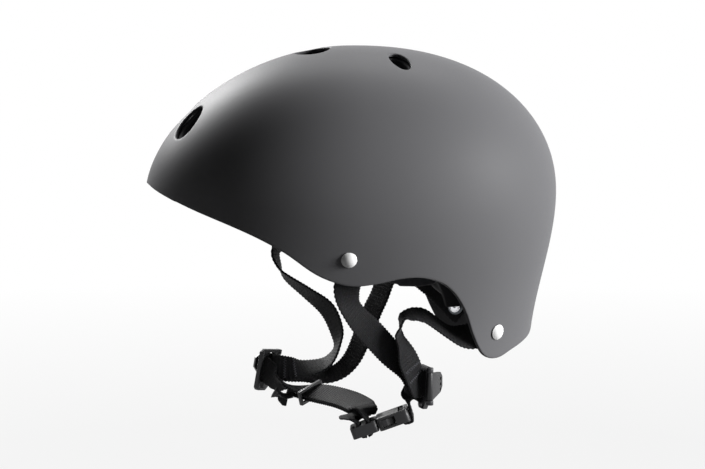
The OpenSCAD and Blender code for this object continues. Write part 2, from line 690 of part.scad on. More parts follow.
module buckle_housing() {
    color(plastic_black)
        buckle_place()
            difference() {
                translate([housing_back, 0, 0]) rounded_slab(housing_l, housing_w, housing_t, 3);
                translate([cave_back, -cave_w / 2, -cave_t / 2])
                    cube([housing_l, cave_w, cave_t]);
                for (side = [-1, 1])
                    translate([window_x + window_l / 2, side * housing_w / 2, 0])
                        cube([window_l, 2 * housing_wall + 2, cave_t], center = true);
                translate([housing_back + bar_d, -(web_w + 1) / 2, -housing_t / 2 - 1])
                    cube([bar_slot, web_w + 1, housing_t + 2]);
            }
}
insert_l = 17.5;
insert_t = housing_t - 1.2;
insert_gap = 0.4;
insert_x = mouth_x + insert_gap;
insert_slot = 3.4;
inner_slot_x = insert_x + 3.4 + insert_slot / 2;
middle_bar = 3.2;
outer_slot_x = inner_slot_x + insert_slot + middle_bar;
guide_w = 4;
module buckle_insert() {
    base_t = cave_t - 2 * clear;
    color(plastic_black)
        buckle_place() {
            difference() {
                union() {
                    translate([insert_x, 0, 0])
                        rounded_slab(insert_l, housing_w - 1, insert_t, 2.5);
                    translate([cave_back + 2, -guide_w / 2, -base_t / 2])
                        cube([mouth_x - cave_back, guide_w, base_t]);
                }
                for (x = [inner_slot_x, outer_slot_x])
                    translate([x, 0, 0]) cube([insert_slot, web_w + 1, 2 * housing_t], center = true);
            }
        }
}
arm_t = 2.4;
arm_gap = 0.35;
arm_reach = cave_w / 2 - clear;
arm_hook = 0.9;
module latch_arm(side) {
    arm_h = cave_t - 2 * clear - 0.4;
    root = insert_x - arm_gap;
    shoulder = window_x + window_l - 0.3;
    tip = window_x + 0.8;
    color(plastic_black)
        buckle_place()
            mirror([0, side < 0 ? 1 : 0, 0])
                translate([0, 0, -arm_h / 2])
                    linear_extrude(height = arm_h)
                        polygon([[root, arm_reach - arm_t], [root, arm_reach], [shoulder, arm_reach],
                                 [shoulder, arm_reach + arm_hook],
                                 [shoulder - 3, arm_reach + arm_hook], [tip, arm_reach - 1.2],
                                 [tip, arm_reach - arm_t - 0.4], [tip + 2, arm_reach - arm_t - 0.6]]);
}
module left_latch_arm() {
    latch_arm(1);
}
module right_latch_arm() {
    latch_arm(-1);
}

// Short web from the left divider to the buckle, and the long chin strap with its tail
wrap = web_t / 2 + 0.4;
web_slope = 0.5;
web_across = [-0.44, -0.07, 0.89];
chin_web_route = [
    [on_left([slot_b, -slot_end, slot_b_z + slot_end * web_slope]), web_across],
    [on_left([slot_b, 2.5, slot_b_z - 2.5 * web_slope]), web_across],
    [on_left([slot_b, 6.5, slot_b_z - 8.8 * web_slope]), [-0.42, -0.08, 0.9]],
    [[29.6, -51.8, -101.8], [-0.3, -0.8, 0.45]],
    [on_buckle([housing_back - wrap - 0.4, 0, housing_t / 2 + 0.5]), buckle_side],
    [on_buckle([housing_back - wrap, 0, 0]), buckle_side],
    [on_buckle([housing_back - wrap + 0.5, 0, -housing_t / 2 - 0.5]), buckle_side],
    [on_buckle([housing_back + bar_d / 2 + 0.3, 0, -housing_t / 2 - wrap]), buckle_side],
    [on_buckle([housing_back + bar_d + bar_slot / 2, 0, -housing_t / 2 - 0.2]), buckle_side],
    [on_buckle([housing_back + bar_d + bar_slot / 2, 0, 0.5]), buckle_side],
    [on_buckle([housing_back + bar_d + bar_slot / 2, 0, housing_t / 2 - 0.5]), buckle_side]];
module left_chin_web() {
    color(web_black) ribbon(chin_web_route, web_w, web_t);
}
web_stack = web_t + 1;
chin_route = [
    [on_right([slot_b + 0.4, -slot_end, slot_b_z + 1.6]), right_axis],
    [on_right([slot_b + 0.4, 0, slot_b_z + 1.6]), right_axis],
    [on_right([slot_b + 0.9, 4, slot_b_z + 1.4]), right_axis],
    [[-43.5, 57.8, -104.5], [-0.3, -0.3, 0.85]],
    [[-38, 54, -106], [-0.6, -0.5, 0.55]],
    [[-31, 48, -107.5], [-0.8, -0.6, 0.1]],
    [[-17, 30, -108.5], [-0.8, -0.45, -0.45]],
    [[-4, 5, -109], [-0.85, -0.3, -0.45]],
    [[2, -20, -109.5], [-0.9, -0.15, -0.35]],
    [[1.5, -35, -108.2], [-0.95, -0.25, -0.1]],
    [[1.5, -44.3, -108.6], [-0.8, -0.5, -0.1]],
    [on_buckle([inner_slot_x + 0.3, 0, insert_t / 2 + 4]), [-0.4, -0.9, 0]],
    [on_buckle([inner_slot_x, 0, insert_t / 2 + 0.8]), buckle_side],
    [on_buckle([inner_slot_x, 0, -insert_t / 2 + 1]), buckle_side],
    [on_buckle([inner_slot_x + 0.4, 0, -insert_t / 2 - 0.4]), buckle_side],
    [on_buckle([(inner_slot_x + outer_slot_x) / 2 - 0.5, 0, -insert_t / 2 - wrap]), buckle_side]];
tail_route = [
    [on_buckle([(inner_slot_x + outer_slot_x) / 2 + 0.5, 0, -insert_t / 2 - wrap]), buckle_side],
    [on_buckle([outer_slot_x - 0.4, 0, -insert_t / 2 - 0.4]), buckle_side],
    [on_buckle([outer_slot_x, 0, -insert_t / 2 + 1]), buckle_side],
    [on_buckle([outer_slot_x, 0, insert_t / 2 + 0.8]), buckle_side],
    [on_buckle([outer_slot_x + 1, 0, insert_t / 2 + 3.5]), [-0.35, -0.92, 0]],
    [[-6, -43, -113.8], [-0.75, -0.6, -0.15]],
    [[-5, -34, -113.2], [-0.9, -0.35, -0.2]],
    laid_on(chin_route, 8, web_stack + 1.2),
    laid_on(chin_route, 7, web_stack),
    laid_on(chin_route, 6, web_stack),
    laid_on(chin_route, 5, web_stack + 2.4),
    [[-38, 46.2, -112.8], [-0.55, -0.8, 0.1]],
    [[-45, 46.5, -110.5], [-0.05, -0.8, 0.55]]];
module chin_strap() {
    color(web_black) ribbon(chin_route, web_w, web_t);
}
module strap_tail() {
    color(web_black) ribbon(tail_route, web_w - 1, web_t);
}

// Ring that keeps the tail against the chin strap, at a station along that strap
keeper_station = 17;
keeper_bar = 1.6;
keeper_l = 3;
keeper_gap = 0.6;
keeper_slack = 1;
module keeper_ring() {
    line = stations(chin_route, 3);
    way = unit(line[keeper_station + 1][0] - line[keeper_station - 1][0]);
    across = unit(line[keeper_station][1] - way * (line[keeper_station][1] * way));
    face = cross(way, across);
    at = line[keeper_station][0] + face * (web_stack + keeper_slack) / 2;
    inner = [web_stack + web_t + keeper_slack + 2 * keeper_gap, web_w + 2 * keeper_gap];
    color(plastic_black)
        multmatrix([[way[0], face[0], across[0], at[0]], [way[1], face[1], across[1], at[1]],
                    [way[2], face[2], across[2], at[2]], [0, 0, 0, 1]])
            difference() {
                cube([keeper_l, inner[0] + 2 * keeper_bar, inner[1] + 2 * keeper_bar], center = true);
                cube([keeper_l + 2, inner[0], inner[1]], center = true);
            }
}

// Nape dial: +X of its own frame is the knob's axis, pointing to the rear
dial_x = 104.5;
dial_z = -51;
dial_depth = 8;
cover_t = 1.5;
dial_wall = 2;
pinion_t = 4;
shaft_d = 6;
tooth_module = 1;
pitch_r = tooth_module * pinion_teeth / 2;
pressure = 20;
tooth_half = 0.71;
pinion_tip = 0.8;
rack_tip = 0.55;
tip_gap = 0.25;
cave_mid = -dial_wall - (dial_depth - dial_wall) / 2;
module dial_place() {
    translate([dial_x, 0, dial_z]) rotate([0, 90, 0]) children();
}
// In the dial's plane, x is down and y is across, so a point is given as across and up
module dial_plate(w, h, r) {
    square([h - 2 * r, w], center = true);
    square([h, w - 2 * r], center = true);
    for (x = [-1, 1], y = [-1, 1])
        translate([x * (h / 2 - r), y * (w / 2 - r)]) circle(r = r, $fn = round_fn);
}
rack_low = pitch_r + pinion_tip + tip_gap;
rack_high = dial_h / 2 - dial_wall - clear;
module dial_housing() {
    color(plastic_black)
        dial_place()
            difference() {
                translate([0, 0, -dial_depth]) linear_extrude(height = dial_depth) dial_plate(dial_w, dial_h, 4);
                translate([0, 0, -dial_depth - 1])
                    linear_extrude(height = dial_depth - dial_wall + 1)
                        dial_plate(dial_w - 2 * dial_wall, dial_h - 2 * dial_wall, 2);
                translate([0, 0, -dial_depth - 1])
                    cylinder(d = shaft_d + 2 * run_fit, h = dial_depth + 2, $fn = 64);
                for (side = [-1, 1])
                    translate([side * (rack_high + pitch_r) / 2, side * dial_w / 2, cave_mid])
                        cube([rack_high - pitch_r + 2, 2 * dial_wall + 4, pinion_t + 1], center = true);
                for (side = [-1, 1])
                    translate([0, side * screw_y, -dial_depth - 1])
                        cylinder(d = screw_d + 2 * run_fit, h = dial_depth - 1, $fn = round_fn);
            }
    color(plastic_black)
        dial_place()
            for (side = [-1, 1])
                translate([0, side * screw_y, -dial_depth])
                    difference() {
                        cylinder(d = 4.6, h = dial_depth - dial_wall + 0.5, $fn = round_fn);
                        translate([0, 0, -1]) cylinder(d = screw_d + 2 * run_fit, h = 6, $fn = round_fn);
                    }
}
screw_y = 20;
screw_d = 2;
module dial_cover() {
    color(plastic_black)
        dial_place()
            translate([0, 0, -dial_depth - cover_t])
                difference() {
                    linear_extrude(height = cover_t) dial_plate(dial_w, dial_h, 4);
                    for (side = [-1, 1])
                        translate([0, side * screw_y, -1])
                            cylinder(d = screw_d + 0.3, h = cover_t + 2, $fn = round_fn);
                }
}
module cover_screws() {
    color(steel)
        dial_place()
            for (side = [-1, 1])
                translate([0, side * screw_y, -dial_depth - cover_t]) {
                    cylinder(d = screw_d, h = 5.5, $fn = round_fn);
                    translate([0, 0, -1])
                        difference() {
                            cylinder(d = 4, h = 1, $fn = round_fn);
                            translate([0, 0, -0.5]) cube([0.7, 2.6, 2], center = true);
                            translate([0, 0, -0.5]) cube([2.6, 0.7, 2], center = true);
                        }
                }
}
knob_ribs = 24;
knob_gap = 0.4;
ratchet_r = 8.6;
module dial_knob() {
    color(plastic_black)
        dial_place()
            translate([0, 0, knob_gap])
                difference() {
                    union() {
                        cylinder(r = knob_d / 2 - 0.7, h = knob_h, $fn = 96);
                        for (i = [0:knob_ribs - 1])
                            rotate([0, 0, 360 * i / knob_ribs])
                                translate([knob_d / 2 - 0.7, 0, 0])
                                    cylinder(r = 0.7, h = knob_h - 1.2, $fn = 20);
                    }
                    translate([0, 0, -1]) cylinder(r = ratchet_r, h = 4, $fn = 96);
                    for (i = [0:knob_ribs - 1])
                        rotate([0, 0, 360 * (i + 0.5) / knob_ribs])
                            translate([ratchet_r, 0, 1]) cylinder(r = 0.6, h = 4, center = true, $fn = 20);
                    translate([0, 0, knob_h - 0.8])
                        difference() {
                            cylinder(r = knob_d / 2 - 3, h = 2, $fn = 96);
                            cylinder(r = knob_d / 2 - 7, h = 5, center = true, $fn = 96);
                        }
                    difference() {
                        translate([0, 0, -1]) cylinder(d = 4 + 2 * run_fit, h = knob_h - 1, $fn = 64);
                        translate([1.5 + run_fit, -4, -2]) cube([4, 8, knob_h]);
                    }
                }
}
function involute(a) = tan(a) - a * PI / 180;
function flank_angle(r, base, half) =
    r <= base ? half + involute(pressure) * 180 / PI
              : half + (involute(pressure) - involute(acos(base / r))) * 180 / PI;
module pinion_outline() {
    base = pitch_r * cos(pressure);
    tip = pitch_r + pinion_tip;
    root = pitch_r - rack_tip - tip_gap;
    half = tooth_half / pitch_r * 180 / PI;
    radii = concat([root, base], [for (k = [1:4]) lerp(base, tip, k / 4)]);
    polygon([for (i = [0:pinion_teeth - 1])
                 let (middle = 360 * (i + 0.5) / pinion_teeth)
                 each concat(
                     [for (r = radii) let (a = middle - flank_angle(r, base, half)) [r * cos(a), r * sin(a)]],
                     [for (k = [len(radii) - 1:-1:0])
                          let (r = radii[k], a = middle + flank_angle(r, base, half))
                          [r * cos(a), r * sin(a)]])]);
}
module dial_pinion() {
    color(plastic_grey)
        dial_place() {
            translate([0, 0, cave_mid - pinion_t / 2]) linear_extrude(height = pinion_t) pinion_outline();
            translate([0, 0, cave_mid - pinion_t / 2])
                cylinder(d = shaft_d, h = pinion_t / 2 - cave_mid - 0.1 + knob_gap / 2, $fn = 64);
            difference() {
                cylinder(d = 4, h = knob_gap + knob_h - 2.5, $fn = 64);
                translate([1.5, -4, knob_gap]) cube([4, 8, knob_h]);
            }
        }
}
spring_r = 6.4;
module dial_spring() {
    color(steel)
        dial_place()
            for (side = [0, 180])
                rotate([0, 0, side])
                    translate([0, 0, 0.05])
                        linear_extrude(height = 2.6)
                            polygon([[4.2, -3.4], [spring_r, -3], [ratchet_r - 0.5, 0], [spring_r, 3],
                                     [4.2, 3.4], [4.2, 2.9], [spring_r - 0.3, 2.5],
                                     [ratchet_r - 1.3, 0], [spring_r - 0.3, -2.5], [4.2, -2.9]]);
}
rack_reach = 38;
rack_front = 2.5;
rack_teeth_back = 5;
tooth_pitch = PI * tooth_module;
module rack_outline() {
    tip = tooth_half - rack_tip * tan(pressure);
    foot = tooth_half + (pinion_tip + tip_gap) * tan(pressure);
    translate([-rack_reach, rack_low])
        square([rack_reach + rack_front * tooth_pitch, rack_high - rack_low]);
    for (k = [-rack_teeth_back:2])
        translate([k * tooth_pitch, pitch_r])
            polygon([[-tip, -rack_tip], [tip, -rack_tip], [foot, rack_low - pitch_r + 0.2],
                     [-foot, rack_low - pitch_r + 0.2]]);
}
module band_rack(side) {
    thick = pinion_t - 0.6;
    translate([dial_x + cave_mid, 0, dial_z])
        rotate([side > 0 ? 180 : 0, 0, 0])
            rotate([90, 0, 90])
                translate([0, 0, -thick / 2]) linear_extrude(height = thick) rack_outline();
}
module left_band_rack() {
    color(plastic_grey) band_rack(-1);
}
module right_band_rack() {
    color(plastic_grey) band_rack(1);
}

// Fit bands from the racks round to their anchors on the liner
anchor_u = 315;
anchor_z = -12;
anchor_pin_d = 4;
anchor_head_d = 9;
band_inset = pad_inset + 1.2;
rack_mid_z = (rack_high + rack_low) / 2;
band_way = [0.6, 0.6, -0.5];
function band_station(u, z, inset) = [wall(u, z, inset), flat_on(u, z, band_way)];
function band_route(side) =
    [for (s = [[[dial_x + cave_mid, -rack_reach - 2 * clear, dial_z - side * rack_mid_z], [0.1, 0, 1]],
               [[dial_x + cave_mid - 3, -rack_reach - 4.5, dial_z - side * rack_mid_z + 1.5 + 1.5 * side], [0.1, 0, 1]],
               band_station(329, -44, band_inset + 2),
               band_station(320, -34, band_inset + 1),
               band_station(anchor_u + 6, -21, band_inset + 0.3),
               band_station(anchor_u, anchor_z, band_inset),
               band_station(anchor_u - 5, anchor_z + 5, band_inset)])
         side < 0 ? s : [[s[0][0], -s[0][1], s[0][2]], [s[1][0], -s[1][1], s[1][2]]]];
module anchor_place() {
    for (side = [0, 1])
        mirror([0, side, 0])
            aim(wall(anchor_u, anchor_z, band_inset), wall_normal(anchor_u, anchor_z))
                children();
}
module fit_band(side) {
    difference() {
        ribbon(band_route(side), band_h, band_t);
        anchor_place() cylinder(d = anchor_pin_d + 4 * run_fit, h = 12, center = true, $fn = round_fn);
    }
}
module left_fit_band() {
    color(plastic_black) fit_band(-1);
}
module right_fit_band() {
    color(plastic_black) fit_band(1);
}
module band_anchors() {
    color(plastic_black)
        anchor_place() {
            translate([0, 0, -2.9]) cylinder(d = anchor_head_d, h = 1.4, $fn = round_fn);
            translate([0, 0, -2.5]) cylinder(d = anchor_pin_d, h = 13, $fn = round_fn);
        }
}

// Bracket that hangs the dial from the liner, with its two push pins
bracket_w = 20;
bracket_t = 1.8;
bracket_low = dial_z + dial_h / 2;
bracket_top = -17;
bracket_pin_z = -22;
bracket_pin_y = 6;
bracket_pin_d = 3;
bracket_off = 1.3;
module nape_bracket() {
    low = wall(0, bracket_low + 5, pad_inset + bracket_off);
    top = wall(0, bracket_top, pad_inset + bracket_off);
    foot = dial_x - dial_depth;
    color(plastic_black)
        difference() {
            translate([0, bracket_w / 2, 0])
                rotate([90, 0, 0])
                    linear_extrude(height = bracket_w)
                        polygon([[foot, bracket_low], [dial_x - 1, bracket_low], [dial_x - 1, bracket_low + 1.8],
                                 [low[0], bracket_low + 5], [top[0], top[2]],
                                 [top[0] - bracket_t, top[2]], [low[0] - bracket_t, bracket_low + 5],
                                 [foot, bracket_low + 1.8]]);
            bracket_pin_places() cylinder(d = bracket_pin_d + 2 * run_fit, h = 20, center = true, $fn = round_fn);
        }
}
module bracket_pin_places() {
    for (y = [-1, 1])
        translate(wall(0, bracket_pin_z, pad_inset + bracket_off + bracket_t) + [0, y * bracket_pin_y, 0])
            rotate([0, 90, 0])
                children();
}
module bracket_pins() {
    color(plastic_black)
        bracket_pin_places() {
            translate([0, 0, -2.2]) cylinder(d = 6.5, h = 1.2, $fn = round_fn);
            translate([0, 0, -1.8]) cylinder(d = bracket_pin_d, h = 14.6, $fn = round_fn);
        }
}

outer_shell();
foam_liner();
front_pad();
crown_pad();
left_side_pad();
right_side_pad();
rear_pad();
front_rivets();
rear_rivets();
rivet_washers();
left_front_strap();
left_rear_strap();
right_front_strap();
right_rear_strap();
left_chin_web();
chin_strap();
strap_tail();
keeper_ring();
left_divider_frame();
right_divider_frame();
left_divider_lock();
right_divider_lock();
buckle_housing();
buckle_insert();
left_latch_arm();
right_latch_arm();
nape_bracket();
bracket_pins();
dial_housing();
dial_cover();
cover_screws();
dial_knob();
dial_pinion();
dial_spring();
left_band_rack();
right_band_rack();
left_fit_band();
right_fit_band();
band_anchors();
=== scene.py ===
import functools
import json
import math

import bmesh
import bpy
import numpy as np
from mathutils import Matrix, Vector
from mathutils.bvhtree import BVHTree
from mathutils.geometry import delaunay_2d_cdt
from mathutils.kdtree import KDTree


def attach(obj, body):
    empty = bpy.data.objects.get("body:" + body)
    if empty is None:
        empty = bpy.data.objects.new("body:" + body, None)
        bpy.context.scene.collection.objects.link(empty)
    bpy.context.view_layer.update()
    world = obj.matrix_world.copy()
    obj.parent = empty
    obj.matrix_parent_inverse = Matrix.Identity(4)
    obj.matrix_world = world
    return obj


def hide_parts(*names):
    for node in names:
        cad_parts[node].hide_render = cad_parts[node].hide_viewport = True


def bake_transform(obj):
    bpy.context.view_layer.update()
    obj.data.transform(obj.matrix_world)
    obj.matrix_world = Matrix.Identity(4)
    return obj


bl_info = {
    "name": "Skate helmet",
    "version": (1, 0, 0),
    "blender": (4, 5, 0),
    "location": "3D View > Sidebar > Helmet",
    "description": "Builds the looks of a hard-shell skate helmet over its CAD model",
    "category": "Add Mesh",
}

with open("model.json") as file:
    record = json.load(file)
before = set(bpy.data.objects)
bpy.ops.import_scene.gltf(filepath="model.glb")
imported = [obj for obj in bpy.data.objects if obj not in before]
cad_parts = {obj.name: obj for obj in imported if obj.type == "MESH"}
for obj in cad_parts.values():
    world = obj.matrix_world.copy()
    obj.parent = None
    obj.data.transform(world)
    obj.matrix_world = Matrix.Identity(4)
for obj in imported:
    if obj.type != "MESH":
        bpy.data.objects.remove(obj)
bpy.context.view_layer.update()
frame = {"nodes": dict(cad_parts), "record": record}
BODY_OF = {node: body for body, nodes in frame["record"]["behaviour"]["bodies"].items()
           for node in nodes}

# Sizes here are in millimetres and turn to metres when a mesh is made.
MM = 0.001

# The shell: a superellipse in plan and in height, drawn in below its widest level.
SHELL_L = 266.8
SHELL_W = 210.0
CROWN_Z = 121.9
EQUATOR_Z = 27.5
PLAN_POWER = 2.1
RISE = (1.714, 2.1, 2.077)
SPAN = (1.9, 2.2, 2.286)
DRAW = (-0.05, 0.21, 0.125)
SKIRT_H = 105.0
SKIRT_STEP = 1.6
RIM = ((0, -56), (6, -59), (12, -64), (20, -67.5), (28, -71), (36, -75), (42, -72), (47, -59.5),
       (52, -43.8), (58, -31), (64, -23.3), (72, -19.2), (80, -19.3), (90, -22.5), (98, -23.6),
       (105, -21), (112, -15), (122, -1), (134, 11), (150, 22.3), (165, 30.5), (180, 34.3))
# Vents: azimuth, latitude, size down the slope, size across, turn of that size
VENTS = ((189.5, 33.7, 30, 23, 43), (170.5, 33.7, 30, 23, -43), (180, 78, 23, 43, 0),
         (300, 66.4, 26.5, 12.5, -7), (60, 66.4, 26.5, 12.5, 7),
         (0, 52, 26, 16, 0), (0, 22, 26, 16, 0))
SHELL_T = 2.5
LINER_GAP = 0.8
LINER_T = 20.0
PAD_INSET = SHELL_T + LINER_GAP + LINER_T + 0.7
PAD_T = 7.0
CAP_D = 10.0
CAP_H = 2.4
FRONT_RIVET = (260.2, -6)
REAR_RIVET = (322.8, -57.9)
WEB_W = 17.0
WEB_T = 1.6
WEB_INSET = SHELL_T + 0.8 + WEB_T / 2
# The fit bands: their section, their anchors on the liner, and where they meet their racks.
BAND_W = 11
BAND_T = 1.4
ANCHOR_U = 315
ANCHOR_Z = -12
ANCHOR_INSET = PAD_INSET + 1.2
DIAL_Z = -51
BAND_X = 104.5 - 5
RACK_UP = (8.7 + 6.05) / 2
# The liner's pockets: azimuth and height, then width, height and depth in the foam.
POCKETS = ((FRONT_RIVET, 58, 50, 11), ((310, -38), 38, 34, 15))
# The liner's holes: width, and reach to each side of the pin's seat.
ANCHOR_HOLE = (4.6, 15)
BRACKET_HOLE = (3.6, 20)
BRACKET_Z = -22
BRACKET_INSET = PAD_INSET + 3.1
BRACKET_PIN_Y = 6
# Sewing: a stitch's length and thickness, and the places of seams and rows of tacks.
SEAM_STITCH = (2.6, 0.5)
SEAM_IN = 4.5
SEAM_PITCH = 4.2
TACK_STITCH = (2.2, 0.42)
TACK_HALF = 6.3
STRAP_TACKS = (17, 24)
HEM = 11
HEM_TACKS = (3, 8.5)
# The camera: its lens at the photo's framing, and the point that it looks at.
LENS = 157.1
AIM = (0.74, 0, -0.79)


# Shape of the helmet's wall.

def smooth(t):
    c = np.clip(t, 0, 1)
    return c * c * (3 - 2 * c)


def lerp(a, b, t):
    return a + (b - a) * t


def unit(v):
    v = np.asarray(v, float)
    return v / np.linalg.norm(v, axis=-1, keepdims=True)


def run_along(points):
    """The distance of each point of a line from its start, along the line."""
    return np.concatenate([[0], np.cumsum(np.linalg.norm(np.diff(points, axis=0), axis=1))])


def spaced(at, run, points):
    """The points of a line at distances along it."""
    return np.stack([np.interp(at, run, points[:, k]) for k in range(3)], -1)


def around(u, values):
    c = np.cos(np.radians(u))
    front, side, rear = values
    return side + np.where(c >= 0, rear - side, front - side) * c * c


def plan_radius(u, inset):
    a = np.radians(u)
    return (np.abs(np.cos(a) / (SHELL_L / 2 - inset)) ** PLAN_POWER
            + np.abs(np.sin(a) / (SHELL_W / 2 - inset)) ** PLAN_POWER) ** (-1 / PLAN_POWER)


def wall_lat(u, lat, inset):
    """Points on the wall at an azimuth (0 is the rear) and a latitude in degrees."""
    u, lat = np.broadcast_arrays(np.asarray(u, float), np.asarray(lat, float))
    a = np.radians(u)
    plan = plan_radius(u, inset)
    up = np.radians(np.clip(lat, 0, 90))
    dome_r = plan * np.maximum(np.cos(up), 0) ** (2 / around(u, SPAN))
    dome_z = EQUATOR_Z + (CROWN_Z - EQUATOR_Z - inset) * np.sin(up) ** (2 / around(u, RISE))
    depth = np.maximum(-lat, 0) * SKIRT_STEP
    skirt_r = plan * (1 - around(u, DRAW) * smooth(depth / SKIRT_H))
    r = np.where(lat >= 0, dome_r, skirt_r)
    z = np.where(lat >= 0, dome_z, EQUATOR_Z - depth)
    return np.stack([r * np.cos(a), r * np.sin(a), z], -1)


def lat_at(u, z, inset):
    u, z = np.broadcast_arrays(np.asarray(u, float), np.asarray(z, float))
    share = np.clip((z - EQUATOR_Z) / (CROWN_Z - EQUATOR_Z - inset), 0, 1)
    dome = np.degrees(np.arcsin(share ** (around(u, RISE) / 2)))
    return np.where(z >= EQUATOR_Z, dome, (z - EQUATOR_Z) / SKIRT_STEP)


def wall(u, z, inset):
    return wall_lat(u, lat_at(u, z, inset), inset)


def lat_normal(u, lat):
    return unit(np.cross(wall_lat(u + 1, lat, 0) - wall_lat(u - 1, lat, 0),
                         wall_lat(u, lat + 1, 0) - wall_lat(u, lat - 1, 0)))


def wall_normal(u, z):
    return lat_normal(u, lat_at(u, z, 0))


def from_rear(u):
    """An azimuth as its angle from the rear, because the two sides are alike."""
    v = np.mod(u, 360)
    return np.where(v > 180, 360 - v, v)


def rim_z(u):
    v = from_rear(u)
    at = np.array([p[0] for p in RIM], float)
    high = np.array([p[1] for p in RIM], float)
    slope = np.zeros(len(RIM))
    slope[1:-1] = (high[2:] - high[:-2]) / (at[2:] - at[:-2])
    i = np.clip(np.searchsorted(at, v, side="right") - 1, 0, len(RIM) - 2)
    w = at[i + 1] - at[i]
    t = (v - at[i]) / w
    return (high[i] * (1 + 2 * t) * (1 - t) ** 2 + slope[i] * w * t * (1 - t) ** 2
            + high[i + 1] * t * t * (3 - 2 * t) + slope[i + 1] * w * t * t * (t - 1))


def liner_rim_z(u):
    return np.maximum(rim_z(u) + 4, lerp(-44, -31, smooth((38 - from_rear(u)) / 7)))


# The wall is triangulated on a flat map of the dome, with the crown in its middle.
MAP_R = 100.0
MAP_WALL = 112.0


def to_map(u, lat):
    a = np.radians(u)
    rho = np.where(lat >= 0, MAP_R * np.tan(np.radians(90 - np.maximum(lat, 0)) / 2),
                   MAP_R * np.exp(-np.minimum(lat, 0) * SKIRT_STEP / MAP_WALL))
    return np.stack([rho * np.cos(a), rho * np.sin(a)], -1)


def from_map(p):
    rho = np.maximum(np.linalg.norm(p, axis=-1), 1e-9)
    u = np.degrees(np.arctan2(p[..., 1], p[..., 0]))
    lat = np.where(rho <= MAP_R, 90 - 2 * np.degrees(np.arctan(rho / MAP_R)),
                   -np.log(rho / MAP_R) * MAP_WALL / SKIRT_STEP)
    return u, lat


def aimed(point, normal, turn=0.0):
    """Axes of a part set on the wall: down the slope, across it and outwards."""
    tip = math.acos(max(-1, min(1, normal[2])))
    way = math.atan2(normal[1], normal[0])
    down = np.array([math.cos(tip) * math.cos(way), math.cos(tip) * math.sin(way), -math.sin(tip)])
    across = np.array([-math.sin(way), math.cos(way), 0.0])
    t = math.radians(turn)
    return (point, down * math.cos(t) + across * math.sin(t),
            across * math.cos(t) - down * math.sin(t), normal)


def vent_loop(vent, grow, inset, count):
    """The outline of a vent on the wall, as points on the flat map."""
    azimuth, lat, size_down, size_across, turn = vent
    centre, down, across, _ = aimed(wall_lat(azimuth, lat, 0), lat_normal(azimuth, lat), turn)
    a = np.radians(360 * (np.arange(count) + 0.5) / count)
    want = np.stack([(size_down / 2 + grow) * np.cos(a), (size_across / 2 + grow) * np.sin(a)], -1)
    p = np.repeat(to_map(azimuth, lat)[None], count, 0)

    def where(q):
        offset = wall_lat(*from_map(q), inset) - centre
        return np.stack([offset @ down, offset @ across], -1)

    for _ in range(12):
        base = where(p)
        gx = (where(p + [0.01, 0]) - base) / 0.01
        gy = (where(p + [0, 0.01]) - base) / 0.01
        det = gx[:, 0] * gy[:, 1] - gx[:, 1] * gy[:, 0]
        miss = want - base
        p = p + np.stack([(miss[:, 0] * gy[:, 1] - miss[:, 1] * gy[:, 0]) / det,
                          (gx[:, 0] * miss[:, 1] - gx[:, 1] * miss[:, 0]) / det], -1)
    return p


def inside(points, loop):
    x, y = points[:, 0:1], points[:, 1:2]
    a, b = loop, np.roll(loop, -1, 0)
    hit = ((a[:, 1] > y) != (b[:, 1] > y)) & (
        x < (b[:, 0] - a[:, 0]) * (y - a[:, 1]) / (b[:, 1] - a[:, 1] + 1e-12) + a[:, 0])
    return hit.sum(1) % 2 == 1


def rim_azimuths(count):
    u = np.linspace(0, 360, 2881)
    p = wall(u, rim_z(u), 0)
    run = run_along(p)
    return np.interp(np.arange(count) * run[-1] / count, run, u)


def tree_of(points):
    tree = KDTree(len(points))
    for i, p in enumerate(points):
        tree.insert(p, i)
    tree.balance()
    return tree


def within(points, loops):
    """Which points lie inside the first loop and outside the others."""
    good = inside(points, loops[0])
    for loop in loops[1:]:
        good &= ~inside(points, loop)
    return good


